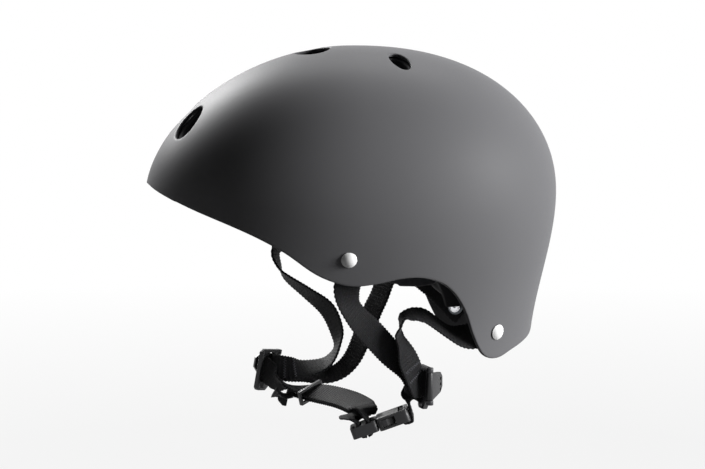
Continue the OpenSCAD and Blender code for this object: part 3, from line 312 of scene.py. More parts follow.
def wall_sheet(inset, rim, narrower, back, spacing, turns, sides=64):
    """One face of the wall: its points, normals, triangles and edge loops, rim first."""
    def on_face(flat):
        return wall_lat(*from_map(flat), inset)

    rim_lat = lat_at(turns, rim(turns), inset)
    pulled = rim_lat + back / SKIRT_STEP
    loops = [to_map(turns, pulled)] + [vent_loop(v, back - narrower, inset, sides) for v in VENTS]
    rings = [to_map(turns, pulled + 1.2 / SKIRT_STEP)]
    for more, count in ((1.3, sides), (3.0, sides * 3 // 4)):
        rings += [vent_loop(v, back - narrower + more, inset, count) for v in VENTS]
    loose = [np.zeros((1, 2))]
    lat, k = 90.0, 0
    while lat > rim_lat.min():
        step = np.linalg.norm(wall_lat(90.0, lat - 0.1, inset) - wall_lat(90.0, lat, inset)) / 0.1
        lat -= spacing * 0.9 / max(step, 0.8)
        level = wall_lat(np.arange(360.0), lat, inset)
        n = max(int(np.linalg.norm(np.diff(level, axis=0), axis=1).sum() / spacing), 6)
        k += 1
        loose.append(to_map((np.arange(n) + 0.5 * (k % 2)) * 360 / n, np.full(n, lat)))

    def kept(points, clear_of, gap):
        points = points[within(points, loops)]
        tree = tree_of(on_face(np.concatenate(clear_of)))
        return points[[tree.find(p)[2] > gap for p in on_face(points)]]

    near = kept(np.concatenate(rings), loops, 0.9)
    free = kept(np.concatenate(loose), loops + rings, spacing * 0.62)
    flat = np.concatenate(loops + [near, free])
    borders, indices, start = [], [], 0
    for loop in loops:
        ring = np.arange(start, start + len(loop))
        indices.append(ring)
        borders += zip(ring.tolist(), np.roll(ring, -1).tolist())
        start += len(loop)
    made, _, faces, _, _, _ = delaunay_2d_cdt([Vector(p) for p in flat], borders, [], 0, 1e-7)
    if len(made) != len(flat):
        raise RuntimeError("The wall's map has doubled points")
    faces = np.array([list(f) for f in faces if len(f) == 3])
    faces = faces[within(flat[faces].mean(1), loops)]
    u, lat = from_map(flat)
    points, normals = wall_lat(u, lat, inset), lat_normal(u, np.minimum(lat, 88.5))
    a, b, c = points[faces[:, 0]], points[faces[:, 1]], points[faces[:, 2]]
    turned = (np.cross(b - a, c - a) * normals[faces[:, 0]]).sum(1) < 0
    faces[turned] = faces[turned][:, ::-1]
    return points, normals, faces, indices


def wall_mesh(name, outer, inner, round_out, round_in):
    """The two faces of a wall, joined along their edges by a rounded lip."""
    points = [outer[0], inner[0]]
    faces = [outer[2], inner[2][:, ::-1] + len(outer[0])]
    total = len(outer[0]) + len(inner[0])
    for k, (a, b) in enumerate(zip(outer[3], inner[3])):
        rings = [a]
        for sheet, ring, radius, way in ((outer, a, round_out, -1), (inner, b, round_in, 1)):
            at, normal = sheet[0][ring], sheet[1][ring]
            off = unit(np.cross(unit(np.roll(at, -1, 0) - np.roll(at, 1, 0)), normal))
            wrong = ((at.mean(0) - at) * off).sum(1, keepdims=True) < 0 if k else off[:, 2:3] > 0
            off = np.where(wrong, -off, off)
            steps = [at + off * radius * math.sin(t) + normal * way * radius * (1 - math.cos(t))
                     for t in np.radians([30, 60, 90])]
            for step in steps[::-way]:
                points.append(step)
                rings.append(np.arange(total, total + len(step)))
                total += len(step)
        rings.append(b + len(outer[0]))
        for p, q in zip(rings, rings[1:]):
            p2, q2 = np.roll(p, -1), np.roll(q, -1)
            faces += [np.stack([p, p2, q2], 1), np.stack([p, q2, q], 1)]
    return new_object(name, np.concatenate(points) * MM, np.concatenate(faces))


# Meshes.

def linked(name, data):
    obj = bpy.data.objects.new(name, data)
    bpy.context.scene.collection.objects.link(obj)
    return obj


def soften(obj, angle=38):
    obj.data.shade_smooth()
    obj.data.set_sharp_from_angle(angle=math.radians(angle))
    return obj


def new_object(name, points, faces, uvs=None, merge=0, angle=38):
    """A mesh object with its doubles merged and its faces pointing outwards."""
    mesh = bpy.data.meshes.new(name)
    mesh.from_pydata([tuple(p) for p in points], [], [tuple(int(i) for i in f) for f in faces])
    if uvs is not None:
        layer = mesh.uv_layers.new(name="UVMap")
        layer.data.foreach_set("uv", np.asarray(uvs, np.float32).ravel())
    bm = bmesh.new()
    bm.from_mesh(mesh)
    if merge:
        bmesh.ops.remove_doubles(bm, verts=bm.verts, dist=merge)
    bmesh.ops.recalc_face_normals(bm, faces=bm.faces)
    bm.to_mesh(mesh)
    bm.free()
    mesh.validate()
    return soften(linked(name, mesh), angle)


def lathe(name, profile, sides):
    """A turned part about +Z from points of radius and height, in millimetres."""
    angles = [2 * math.pi * i / sides for i in range(sides)]
    points = [(r * math.cos(a) * MM, r * math.sin(a) * MM, z * MM) for r, z in profile for a in angles]
    faces = []
    for j in range(len(profile) - 1):
        for i in range(sides):
            a, b = j * sides + i, j * sides + (i + 1) % sides
            faces.append((a, b, b + sides, a + sides))
    return new_object(name, points, faces, merge=1e-6)


def settled(obj):
    """Turns an object with its modifiers into one plain mesh."""
    bpy.context.view_layer.update()
    graph = bpy.context.evaluated_depsgraph_get()
    mesh = bpy.data.meshes.new_from_object(obj.evaluated_get(graph))
    obj.modifiers.clear()
    obj.data = mesh
    return obj


def discard(*objects):
    for obj in objects:
        bpy.data.objects.remove(obj, do_unlink=True)


def coat(obj, material):
    obj.data.materials.clear()
    obj.data.materials.append(material)
    return obj


def place(obj, body, slot, *nodes):
    if body:
        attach(obj, body)
    if nodes:
        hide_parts(*nodes)
    return obj


def dress(name, material):
    for slot in frame["nodes"][name].material_slots:
        slot.material = material


def cad_copy(part, name):
    """A merged copy of a CAD node's mesh, because the node itself stays as it is."""
    bm = bmesh.new()
    bm.from_mesh(frame["nodes"][part].data)
    bmesh.ops.remove_doubles(bm, verts=bm.verts, dist=2e-6)
    bmesh.ops.dissolve_limit(bm, angle_limit=math.radians(1), verts=bm.verts, edges=bm.edges)
    mesh = bpy.data.meshes.new(name)
    bm.to_mesh(mesh)
    bm.free()
    return linked(name, mesh)


def moulded(part, name, radius, material, slot):
    """A CAD node's copy with its sharp edges rounded as a mould leaves them."""
    obj = cad_copy(part, name)
    bevel = obj.modifiers.new("Rounding", "BEVEL")
    bevel.width = radius * MM
    bevel.segments = 2
    bevel.limit_method = "ANGLE"
    bevel.angle_limit = math.radians(40)
    coat(soften(settled(obj), 32), material)
    return place(obj, BODY_OF[part], slot, part)


# Node trees.

def socket(sockets, key):
    if isinstance(key, int):
        return sockets[key]
    return next(s for s in sockets if s.name == key and s.enabled)


def node(tree, kind, inputs=None, **settings):
    """Adds a node with its settings. An input is a value, or a link: a node and its output."""
    made = tree.nodes.new(kind)
    for key, value in settings.items():
        setattr(made, key, value)
    for key, value in (inputs or {}).items():
        if isinstance(value, tuple) and isinstance(value[0], bpy.types.Node):
            tree.links.new(socket(value[0].outputs, value[1]), socket(made.inputs, key))
        else:
            socket(made.inputs, key).default_value = value
    return made


def emptied(owner):
    """The call that adds a node to the emptied tree of a material or the world."""
    owner.use_nodes = True
    owner.node_tree.nodes.clear()
    return functools.partial(node, owner.node_tree)


def linear(code):
    parts = [int(code[i:i + 2], 16) / 255 for i in (1, 3, 5)]
    return tuple(c / 12.92 if c <= 0.04045 else ((c + 0.055) / 1.055) ** 2.4 for c in parts)


def opaque(colour, share=1.0):
    return tuple(min(c * share, 1.0) for c in colour) + (1.0,)


def started(name):
    """A new material, the call that adds its nodes, and its place on the object."""
    material = bpy.data.materials.new(name)
    add = emptied(material)
    return material, add, (add("ShaderNodeTexCoord"), "Object")


def ended(material, add, tone, height, bump, rise, values):
    """Gives a material its colour, its relief with a rise in millimetres, and its values."""
    values = {**values, "Base Color": tone}
    if height:
        relief = add("ShaderNodeBump", {"Strength": bump, "Distance": rise * MM, "Height": height})
        values["Normal"] = (relief, "Normal")
    shader = add("ShaderNodeBsdfPrincipled", values)
    add("ShaderNodeOutputMaterial", {"Surface": (shader, "BSDF")})
    return material


def grained(name, colour, rough, grain_mm, bump, spread, shine):
    """A moulded plastic: even colour with a slight drift, and the grain of its mould."""
    material, add, spot = started(name)
    drift = add("ShaderNodeTexNoise", {"Scale": 22.0, "Detail": 3.0, "Vector": spot})
    tone = add("ShaderNodeMix", {"A": opaque(colour, 1 - spread), "B": opaque(colour, 1 + spread),
                                 "Factor": (drift, "Fac")}, data_type="RGBA")
    grain = add("ShaderNodeTexNoise", {"Scale": 1 / (grain_mm * MM), "Detail": 2.0, "Vector": spot})
    gloss = add("ShaderNodeMapRange", {"From Min": 0.3, "From Max": 0.7, "To Min": rough - 0.04,
                                       "To Max": rough + 0.05, "Value": (grain, "Fac")})
    return ended(material, add, (tone, "Result"), (grain, "Fac"), bump, 0.2,
                 {"IOR": 1.5, "Roughness": (gloss, "Result"), "Specular IOR Level": shine})


def shell_finish(colour, rough):
    # Injection-moulded ABS with a soft-touch lacquer: an even grey, broad dull highlights
    # and a fine orange peel. The peel is drawn at 0.9 mm, coarser than it is, to show.
    return grained("ABS, moulded and satin lacquered", colour, rough, 0.9, 0.05, 0.035, 0.06)


def plastic_finish(name, colour, rough):
    # Acetal or nylon from a spark-eroded mould: near black and satin, with a grain drawn
    # at 0.7 mm, coarser than it is, to show.
    return grained(name, colour, rough, 0.7, 0.10, 0.06, 0.35)


def foam_finish(colour):
    # Expanded polystyrene, moulded from 3.6 mm beads: matt, with their seams pressed flat.
    material, add, spot = started("Expanded polystyrene, bead moulded")
    beads, cells = (add("ShaderNodeTexVoronoi", {"Scale": 1 / (3.6 * MM), "Vector": spot}, feature=kind)
                    for kind in ("DISTANCE_TO_EDGE", "F1"))
    seam = add("ShaderNodeMapRange", {"From Min": 0.0, "From Max": 0.10, "Value": (beads, "Distance")})
    shade = add("ShaderNodeSeparateColor", {"Color": (cells, "Color")})
    body = add("ShaderNodeMix", {"A": opaque(colour, 0.75), "B": opaque(colour, 1.35),
                                 "Factor": (shade, "Red")}, data_type="RGBA")
    tone = add("ShaderNodeMix", {"A": opaque(colour, 0.45), "B": (body, "Result"),
                                 "Factor": (seam, "Result")}, data_type="RGBA")
    return ended(material, add, (tone, "Result"), (seam, "Result"), 0.35, 0.3,
                 {"IOR": 1.45, "Roughness": 0.72, "Specular IOR Level": 0.2})


def pad_finish(colour):
    # Brushed nylon knit laminated to foam: a soft nap that lights up at its edges, over a
    # knit drawn at 1.3 mm, about twice its real gauge, so that it shows.
    material, add, spot = started("Nylon knit, brushed, over foam")
    loops = add("ShaderNodeTexVoronoi", {"Scale": 1 / (1.3 * MM), "Smoothness": 0.4, "Vector": spot},
                feature="SMOOTH_F1")
    nap = add("ShaderNodeTexNoise", {"Scale": 160.0, "Detail": 5.0, "Vector": spot})
    height = add("ShaderNodeMath", {0: (loops, "Distance"), 1: (nap, "Fac")}, operation="MULTIPLY")
    tone = add("ShaderNodeMix", {"A": opaque(colour, 0.7), "B": opaque(colour, 1.5),
                                 "Factor": (nap, "Fac")}, data_type="RGBA")
    return ended(material, add, (tone, "Result"), (height, "Value"), 0.6, 0.4,
                 {"IOR": 1.45, "Roughness": 0.9, "Specular IOR Level": 0.2,
                  "Sheen Weight": 0.3, "Sheen Roughness": 0.45})


def webbing_finish(colour):
    # Polypropylene webbing, woven flat: rows of short warp floats between raised cross
    # ribs, a plain selvedge and a dry plastic sheen. Floats are 2.4 by 1.1 mm, as large
    # as they need to be to show. The UV map holds millimetres: across, then along.
    material, add, spot = started("Polypropylene webbing, woven")
    flat = add("ShaderNodeUVMap", uv_map="UVMap")
    turned = add("ShaderNodeMapping", {"Rotation": (0, 0, math.radians(90)), "Vector": (flat, "UV")})
    floats = add("ShaderNodeTexBrick", {"Color1": opaque(colour, 0.85), "Color2": opaque(colour, 1.5),
                                        "Mortar": opaque(colour, 0.25), "Mortar Size": 0.16,
                                        "Mortar Smooth": 0.8, "Brick Width": 2.4, "Row Height": 1.1,
                                        "Scale": 1.0, "Vector": (turned, "Vector")}, offset=0.5)
    parted = add("ShaderNodeSeparateXYZ", {"Vector": (flat, "UV")})
    off = add("ShaderNodeMath", {0: (parted, "X")}, operation="ABSOLUTE")
    edge = add("ShaderNodeMapRange", {"From Min": WEB_W / 2 - 1.7, "From Max": WEB_W / 2 - 1.3,
                                      "Value": (off, "Value")})
    lint = add("ShaderNodeTexNoise", {"Scale": 420.0, "Detail": 4.0, "Vector": spot})
    band = add("ShaderNodeMix", {"A": (floats, "Color"), "B": opaque(colour, 1.15),
                                 "Factor": (edge, "Result")}, data_type="RGBA")
    tone = add("ShaderNodeMix", {"A": (band, "Result"), "B": (lint, "Color"), "Factor": 0.5},
               data_type="RGBA", blend_type="MULTIPLY")
    height = add("ShaderNodeMath", {0: 1.0, 1: (floats, "Fac")}, operation="SUBTRACT")
    return ended(material, add, (tone, "Result"), (height, "Value"), 0.75, 0.4,
                 {"IOR": 1.49, "Roughness": 0.66, "Specular IOR Level": 0.12,
                  "Sheen Weight": 0.04, "Sheen Roughness": 0.4})


def metal_finish(name, colour, rough, scratch):
    """A metal: its tint, and fine marks in the surface that break the reflection."""
    material, add, spot = started(name)
    marks = add("ShaderNodeTexNoise", {"Scale": 900.0, "Detail": 3.0, "Vector": spot})
    gloss = add("ShaderNodeMapRange", {"From Min": 0.3, "From Max": 0.7, "To Min": rough * 0.7,
                                       "To Max": rough * 1.4, "Value": (marks, "Fac")})
    tone = add("ShaderNodeMix", {"A": opaque(colour, 0.94), "B": opaque(colour),
                                 "Factor": (marks, "Fac")}, data_type="RGBA")
    return ended(material, add, (tone, "Result"), (marks, "Fac"), scratch, 0.05,
                 {"Metallic": 1.0, "Roughness": (gloss, "Result")})


def thread_finish(colour):
    # Spun polyester thread: matt with a light sheen, a little lighter than the fabric.
    material, add, spot = started("Polyester thread, spun")
    twist = add("ShaderNodeTexNoise", {"Scale": 2500.0, "Detail": 2.0, "Vector": spot})
    tone = add("ShaderNodeMix", {"A": opaque(colour, 0.8), "B": opaque(colour, 1.2),
                                 "Factor": (twist, "Fac")}, data_type="RGBA")
    return ended(material, add, (tone, "Result"), None, 0, 0,
                 {"IOR": 1.45, "Roughness": 0.75, "Sheen Weight": 0.3})


def shared_thread(scene):
    return bpy.data.materials.get("Polyester thread, spun") or thread_finish(scene.helmet_webbing.thread)


def shared_plastics(chosen):
    """The black and the grey plastic, which two operators use."""
    return [bpy.data.materials.get(name) or plastic_finish(name, colour, rough)
            for name, colour, rough in (("Acetal, moulded, black", chosen.black, 0.40),
                                        ("Nylon, moulded, charcoal", chosen.grey, 0.42))]


def copies_tree():
    """Geometry Nodes that set a part on points, turned to each point's two directions."""
    tree = bpy.data.node_groups.new("Part on points", "GeometryNodeTree")
    for name, kind in (("Geometry", "NodeSocketGeometry"), ("Part", "NodeSocketObject"),
                       ("Size", "NodeSocketFloat"), ("Finish", "NodeSocketMaterial")):
        tree.interface.new_socket(name=name, in_out="INPUT", socket_type=kind)
    tree.interface.new_socket(name="Geometry", in_out="OUTPUT", socket_type="NodeSocketGeometry")
    add = functools.partial(node, tree)
    given = add("NodeGroupInput")
    along, out = (add("GeometryNodeInputNamedAttribute", {"Name": name}, data_type="FLOAT_VECTOR")
                  for name in ("along", "out"))
    turn = add("FunctionNodeAxesToRotation",
               {"Primary Axis": (out, "Attribute"), "Secondary Axis": (along, "Attribute")},
               primary_axis="Z", secondary_axis="X")
    part = add("GeometryNodeObjectInfo", {"Object": (given, "Part")}, transform_space="ORIGINAL")
    put = add("GeometryNodeInstanceOnPoints",
              {"Points": (given, "Geometry"), "Instance": (part, "Geometry"),
               "Rotation": (turn, "Rotation"), "Scale": (given, "Size")})
    real = add("GeometryNodeRealizeInstances", {"Geometry": (put, "Instances")})
    dressed = add("GeometryNodeSetMaterial",
                  {"Geometry": (real, "Geometry"), "Material": (given, "Finish")})
    add("NodeGroupOutput", {"Geometry": (dressed, "Geometry")})
    return tree


def copies(name, points, alongs, outs, part, material):
    """A part repeated at points, as one plain mesh. The part object is used up."""
    tree = bpy.data.node_groups.get("Part on points") or copies_tree()
    mesh = bpy.data.meshes.new(name)
    mesh.from_pydata([tuple(np.asarray(p) * MM) for p in points], [], [])
    for key, values in (("along", alongs), ("out", outs)):
        layer = mesh.attributes.new(key, "FLOAT_VECTOR", "POINT")
        layer.data.foreach_set("vector", np.asarray(values, np.float32).ravel())
    obj = linked(name, mesh)
    modifier = obj.modifiers.new("Copies", "NODES")
    modifier.node_group = tree
    values = {"Part": part, "Size": 1.0, "Finish": material}
    for item in tree.interface.items_tree:
        if item.in_out == "INPUT" and item.name in values:
            modifier[item.identifier] = values[item.name]
    settled(obj)
    discard(part)
    return obj


# Webbing.

# The dividers' slots: their places along and up the frame, and the straps' spacing in one.
SLOT_A = 8.2
SLOT_A_Z = 12 - 2 - (WEB_W + 1.6) / 2
SLOT_B = 14.8
SLOT_B_Z = 12 - 28 + 2 + (WEB_W + 4.2) / 2
PITCH = WEB_T + 0.7
FRONT_SLOT = SLOT_A + PITCH / 2
REAR_SLOT = SLOT_A - PITCH / 2
SLOT_END = 1.9
# The dividers: their places, and their turns and lean in degrees.
LEFT_AT = np.array([40, -66, -91.5])
LEFT_TURN = 99
RIGHT_AT = np.array([-39.7, 75.4, -97.7])
RIGHT_TURN = 225
RIGHT_LEAN = 10
# The buckle: its place, its pull's direction, and its bars along that direction.
BUCKLE_AT = np.array([19.5, -50, -113.5])
BUCKLE_OUT = unit([-0.92, 0.16, -0.34])
BUCKLE_SIDE = unit(np.cross([0, 0, 1], BUCKLE_OUT))
BUCKLE_TOP = np.cross(BUCKLE_OUT, BUCKLE_SIDE)
HOUSING_BACK = -10.5
HOUSING_T = 8.4
HOUSING_SLOT = HOUSING_BACK + 3 + 1.7
INSERT_T = HOUSING_T - 1.2
INSERT_X = HOUSING_BACK + 21 + 0.4
INNER_X = INSERT_X + 3.4 + 1.7
OUTER_X = INNER_X + 3.4 + 3.2
BARS_X = (INNER_X + OUTER_X) / 2
OVER = HOUSING_T / 2
TOP = INSERT_T / 2
WRAP = WEB_T / 2 + 0.4
STACK = WEB_T + 1


def turned_by(p, angle, lean=0.0):
    a, b = math.radians(angle), math.radians(lean)
    x, y, z = (p[0] * math.cos(a) - p[1] * math.sin(a), p[0] * math.sin(a) + p[1] * math.cos(a), p[2])
    return np.array([x * math.cos(b) + z * math.sin(b), y, -x * math.sin(b) + z * math.cos(b)])


RIGHT_AXIS = turned_by((0, 0, 1), 0, RIGHT_LEAN)


def on_left(p):
    return LEFT_AT + turned_by(p, LEFT_TURN)


def on_right(p):
    return RIGHT_AT + turned_by(p, RIGHT_TURN, RIGHT_LEAN)


def on_buckle(p):
    return BUCKLE_AT + BUCKLE_OUT * p[0] + BUCKLE_SIDE * p[1] + BUCKLE_TOP * p[2]


# A route is a list of stations: a place, and the direction of the strap's width there.

def against(way, *spots, inset=WEB_INSET):
    """Stations along the wall: azimuth, height and distance further in than the inset."""
    return [(wall(u, z, inset + extra), unit(np.cross(wall_normal(u, z), way)))
            for u, z, extra in spots]


def hung(*spots):
    """Stations in the open: a place and a direction."""
    return [(spot[:3], spot[3:]) for spot in spots]


def held(part, axis, *spots):
    """Stations on a divider or the buckle, in its own frame."""
    return [(part(spot), axis) for spot in spots]


def slotted(part, axis, x, z=SLOT_A_Z):
    return held(part, axis, (x, 3, z), (x, 0, z), (x, -SLOT_END, z))


def wound(*spots):
    return held(on_buckle, BUCKLE_SIDE, *((x, 0, z) for x, z in spots))


def left_front_route():
    u, up = FRONT_RIVET[0], (0, 0, 1)
    return (against((0, 0, -1), (u, 4, 0), (u, -6, 0), (u, -16, 0.4))
            + hung((-17, -90.3, -24, 1, 0, 0.1), (-16, -87, -31, 0.9, 0.3, 0.3),
                   (-13, -84, -39, 0.6, 0.5, 0.5), (-7, -80, -47, 0.6, 0.4, 0.7),
                   (0, -76, -54, 0.7, 0.2, 0.7), (13, -69, -68, 0.65, 0.2, 0.75),
                   (25, -62, -79.5, 0.45, 0.45, 0.8))
            + held(on_left, up, (FRONT_SLOT + 1.3, 8, SLOT_A_Z + 1.5),
                   (FRONT_SLOT + 0.2, 5.5, SLOT_A_Z + 0.1))
            + slotted(on_left, up, FRONT_SLOT))


def left_rear_route():
    u, down = REAR_RIVET[0], (0, 0, -1)
    return (against((-1, 0, 0), (u + 4.5, -57, 0), (u, -57.9, 0), (u - 5, -59, 1))
            + hung((62, -65, -60, -0.1, -0.6, -0.8), (52, -66, -57, -0.1, -0.9, -0.4),
                   (38, -68, -47, -0.1, -0.9, -0.4), (32, -69, -45, 0.1, -0.9, -0.4),
                   (27, -70, -45, 0.1, -1, -0.3), (22, -71, -47, -0.1, -1, -0.2),
                   (20, -72, -52, -0.2, -1, -0.1), (19, -72, -57, -0.4, -0.9, 0),
                   (21, -72, -63, -0.5, -0.85, 0), (25, -70, -73, -0.8, -0.6, -0.1),
                   (28.5, -68, -81, -0.6, -0.45, -0.65))
            + held(on_left, down, (REAR_SLOT - 3.4, 8, SLOT_A_Z + 1),
                   (REAR_SLOT - 1.6, 5.5, SLOT_A_Z + 0.1))
            + slotted(on_left, down, REAR_SLOT))


def right_front_route():
    u, way = 360 - FRONT_RIVET[0], (0.9, 0.1, 0.45)
    return (against(way, (u - 5, -2, 0), (u, -6, 0), (u + 5, -9, 0.6))
            + [(wall(u + 10, -15, WEB_INSET + 4.5), (0.45, 0.3, -0.85))]
            + hung((-38, 88, -21, 0.45, 0.9, -0.1), (-36, 87, -30, 0.25, 0.95, 0),
                   (-31, 86, -38, 0, 0.95, -0.25), (-17, 84, -49, -0.15, 0.9, -0.45),
                   (-4, 80, -60, -0.35, 0.8, -0.5), (2, 76, -74, -0.35, 0.9, -0.35),
                   (2, 73, -84, -0.1, 0.95, -0.25), (-3, 71, -92, -0.2, 1, 0),
                   (-9, 70, -96, -0.25, 0.9, 0.25), (-21, 67, -98, -0.1, 0.85, 0.55),
                   (-30, 64.2, -97.5, 0, 0.55, 0.83))
            + held(on_right, RIGHT_AXIS, (FRONT_SLOT + 2.1, 6, SLOT_A_Z))
            + slotted(on_right, RIGHT_AXIS, FRONT_SLOT))


def right_rear_route():
    u, way = 360 - REAR_RIVET[0], (-0.7, 0.35, 0.6)
    return (against(way, (u - 3, -62, 0.2), (u, -57.9, 0), (u + 4, -51, 0.9), (u + 9, -44, 1.3))
            + [(wall(u + 15, -38, WEB_INSET + 2.5), (0.5, -0.5, 0.7))]
            + hung((49.8, 78, -37, 0.5, -0.6, 0.5), (41, 71, -35, 0.5, -0.8, 0.2),
                   (34, 66, -39, 0.55, -0.8, -0.1), (29, 64, -50, 0.55, -0.8, -0.2),
                   (24, 63, -60, 0.6, -0.8, -0.2), (17, 62, -77, 0.55, -0.8, -0.2),
                   (11, 62, -90, 0.45, -0.85, -0.3), (4, 62, -98, 0.3, -0.9, -0.4),
                   (-4, 63, -102, 0.1, -0.9, -0.45), (-13, 66, -102.5, 0.1, -0.9, -0.5),
                   (-21, 69, -101.5, 0.1, -0.8, -0.6), (-30, 69.5, -99.5, 0, -0.5, -0.85))
            + held(on_right, -RIGHT_AXIS, (REAR_SLOT - 1.5, 6, SLOT_A_Z))
            + slotted(on_right, -RIGHT_AXIS, REAR_SLOT))


def chin_web_route():
    """From the left divider over the housing's end and down through its slot."""
    return (held(on_left, (-0.44, -0.07, 0.89), (SLOT_B, -SLOT_END, SLOT_B_Z + SLOT_END * 0.5),
                 (SLOT_B, 2.5, SLOT_B_Z - 1.25))
            + held(on_left, (-0.42, -0.08, 0.9), (SLOT_B, 6.5, SLOT_B_Z - 4.4))
            + hung((29.6, -51.8, -101.8, -0.3, -0.8, 0.45))
            + wound((HOUSING_BACK - WRAP - 0.4, OVER + 0.5), (HOUSING_BACK - WRAP, 0),
                    (HOUSING_BACK - WRAP + 0.5, -OVER - 0.5), (HOUSING_BACK + 1.8, -OVER - WRAP),
                    (HOUSING_SLOT, -OVER - 0.2), (HOUSING_SLOT, 0.5), (HOUSING_SLOT, OVER - 0.5)))


def chin_route():
    """From the right divider to the insert and down past its inner bar."""
    return (held(on_right, RIGHT_AXIS, (SLOT_B + 0.4, -SLOT_END, SLOT_B_Z + 1.6),
                 (SLOT_B + 0.4, 0, SLOT_B_Z + 1.6), (SLOT_B + 0.9, 4, SLOT_B_Z + 1.4))
            + hung((-43.5, 57.8, -104.5, -0.3, -0.3, 0.85), (-38, 54, -106, -0.6, -0.5, 0.55),
                   (-31, 48, -107.5, -0.8, -0.6, 0.1), (-17, 30, -108.5, -0.8, -0.45, -0.45),
                   (-4, 5, -109, -0.85, -0.3, -0.45), (2, -20, -109.5, -0.9, -0.15, -0.35),
                   (1.5, -35, -108.2, -0.95, -0.25, -0.1), (1.5, -44.3, -108.6, -0.8, -0.5, -0.1))
            + held(on_buckle, (-0.4, -0.9, 0), (INNER_X + 0.3, 0, TOP + 4))
            + wound((INNER_X, TOP + 0.8), (INNER_X, -TOP + 1), (INNER_X + 0.4, -TOP - 0.4),
                    (BARS_X - 0.5, -TOP - WRAP)))


def laid_on(route, i, drop):
    way = unit(np.subtract(route[i + 1][0], route[i - 1][0]))
    flat = np.asarray(route[i][1], float)
    across = unit(flat - way * (flat @ way))
    return np.asarray(route[i][0]) + np.cross(way, across) * drop, route[i][1]


def tail_route():
    """From under the insert's bars up past the outer one, and back below the chin strap."""
    chin = chin_route()
    return (wound((BARS_X + 0.5, -TOP - WRAP), (OUTER_X - 0.4, -TOP - 0.4), (OUTER_X, -TOP + 1),
                  (OUTER_X, TOP + 0.8))
            + held(on_buckle, (-0.35, -0.92, 0), (OUTER_X + 1, 0, TOP + 3.5))
            + hung((-6, -43, -113.8, -0.75, -0.6, -0.15), (-5, -34, -113.2, -0.9, -0.35, -0.2))
            + [laid_on(chin, 8, STACK + 1.2), laid_on(chin, 7, STACK), laid_on(chin, 6, STACK),
               laid_on(chin, 5, STACK + 2.4)]
            + hung((-38, 46.2, -112.8, -0.55, -0.8, 0.1), (-45, 46.5, -110.5, -0.05, -0.8, 0.55)))


def band_route(side):
    """The fit band from its rack round to its anchor on the liner."""
    rack = DIAL_Z - side * RACK_UP
    route = [((BAND_X, -38.6, rack), (0.1, 0, 1)),
             ((BAND_X - 3, -42.5, rack + 1.5 + 1.5 * side), (0.1, 0, 1))]
    route += against((0.6, 0.6, -0.5), (329, -44, 2), (320, -34, 1), (321, -21, 0.3),
                     (ANCHOR_U, ANCHOR_Z, 0), (310, -7, 0), inset=ANCHOR_INSET)
    if side < 0:
        return route
    return [((p[0], -p[1], p[2]), (w[0], -w[1], w[2])) for p, w in route]


def stations(route, step):
    """Points, directions, widths' directions and faces along a strap, evenly spaced."""
    p = np.array([r[0] for r in route], float)
    a = np.array([r[1] for r in route], float)
    n = len(p)
    line, flat = [], []
    for i in range(n - 1):
        ids = [max(i - 1, 0), i, i + 1, min(i + 2, n - 1)]
        for t in np.arange(24) / 24 if i < n - 2 else np.arange(25) / 24:
            w = 0.5 * np.array([-t + 2 * t * t - t ** 3, 2 - 5 * t * t + 3 * t ** 3,
                                t + 4 * t * t - 3 * t ** 3, -t * t + t ** 3])
            line.append(w @ p[ids])
            flat.append(w @ a[ids])
    line, flat = np.array(line), unit(np.array(flat))
    run = run_along(line)
    at = np.linspace(0, run[-1], max(int(run[-1] / step), 4) + 1)
    line, flat = spaced(at, run, line), spaced(at, run, flat)
    way = unit(np.gradient(line, axis=0))
    across = unit(flat - way * (flat * way).sum(1, keepdims=True))
    return line, way, across, np.cross(way, across), at


def webbing(name, route, width, thick, pitch, depth, hem=0.0):
    """A woven strap: flat with rounded selvedges, cross ribs and closed ends."""
    line, _, across, face, at = stations(route, pitch / 5)
    half, r = width / 2, thick / 2
    flat = np.linspace(-half + r, half - r, 9)
    bend = np.radians([-60, -30, 0, 30, 60])
    shape = np.array([(x, r) for x in flat]
                     + [(half - r + r * math.cos(b), -r * math.sin(b)) for b in bend]
                     + [(x, -r) for x in flat[::-1]]
                     + [(-half + r - r * math.cos(b), r * math.sin(b)) for b in bend])
    n, m = len(line), len(shape)
    rib = np.cos(2 * math.pi * at / pitch)
    end = np.minimum(at, at[-1] - at)
    narrow = np.where(end < 1.2, 1 - 0.10 * (1 - end / 1.2) ** 2, 1.0)
    plump = 1 + depth * rib
    if hem:
        plump = plump + 0.55 * smooth((at - at[-1] + hem) / 1.5)
    bulge = 1 + 0.35 * depth * rib
    points = (line[:, None] + across[:, None] * (shape[:, 0] * (bulge * narrow)[:, None])[..., None]
              + face[:, None] * (shape[:, 1] * plump[:, None])[..., None]).reshape(-1, 3)
    faces, uvs = [], []
    for i in range(n - 1):
        for j in range(m):
            k = (j + 1) % m
            faces.append((i * m + j, i * m + k, (i + 1) * m + k, (i + 1) * m + j))
            x0, x1 = shape[j, 0], shape[k, 0]
            uvs += [(x0, at[i]), (x1, at[i]), (x1, at[i + 1]), (x0, at[i + 1])]
    for ring, way in ((0, -1), (n - 1, 1)):
        faces.append(tuple(range(ring * m, ring * m + m))[::way])
        uvs += [(x, at[ring]) for x in shape[::way, 0]]
    return new_object(name, points * MM, faces, uvs=uvs, angle=50)


def sewn(name, points, alongs, outs, material, length, thick):
    """A run of sewn stitches: a short capsule of thread at each point."""
    profile = [(0, -0.5), (0.6, -0.42), (1, -0.2), (1, 0.2), (0.6, 0.42), (0, 0.5)]
    part = lathe(name + "_thread", [(r * thick / 2, z * length) for r, z in profile], 6)
    part.data.transform(Matrix.Rotation(math.radians(90), 4, "Y"))
    obj = copies(name, points, alongs, outs, part, material)
    obj.data.shade_smooth()
    return obj


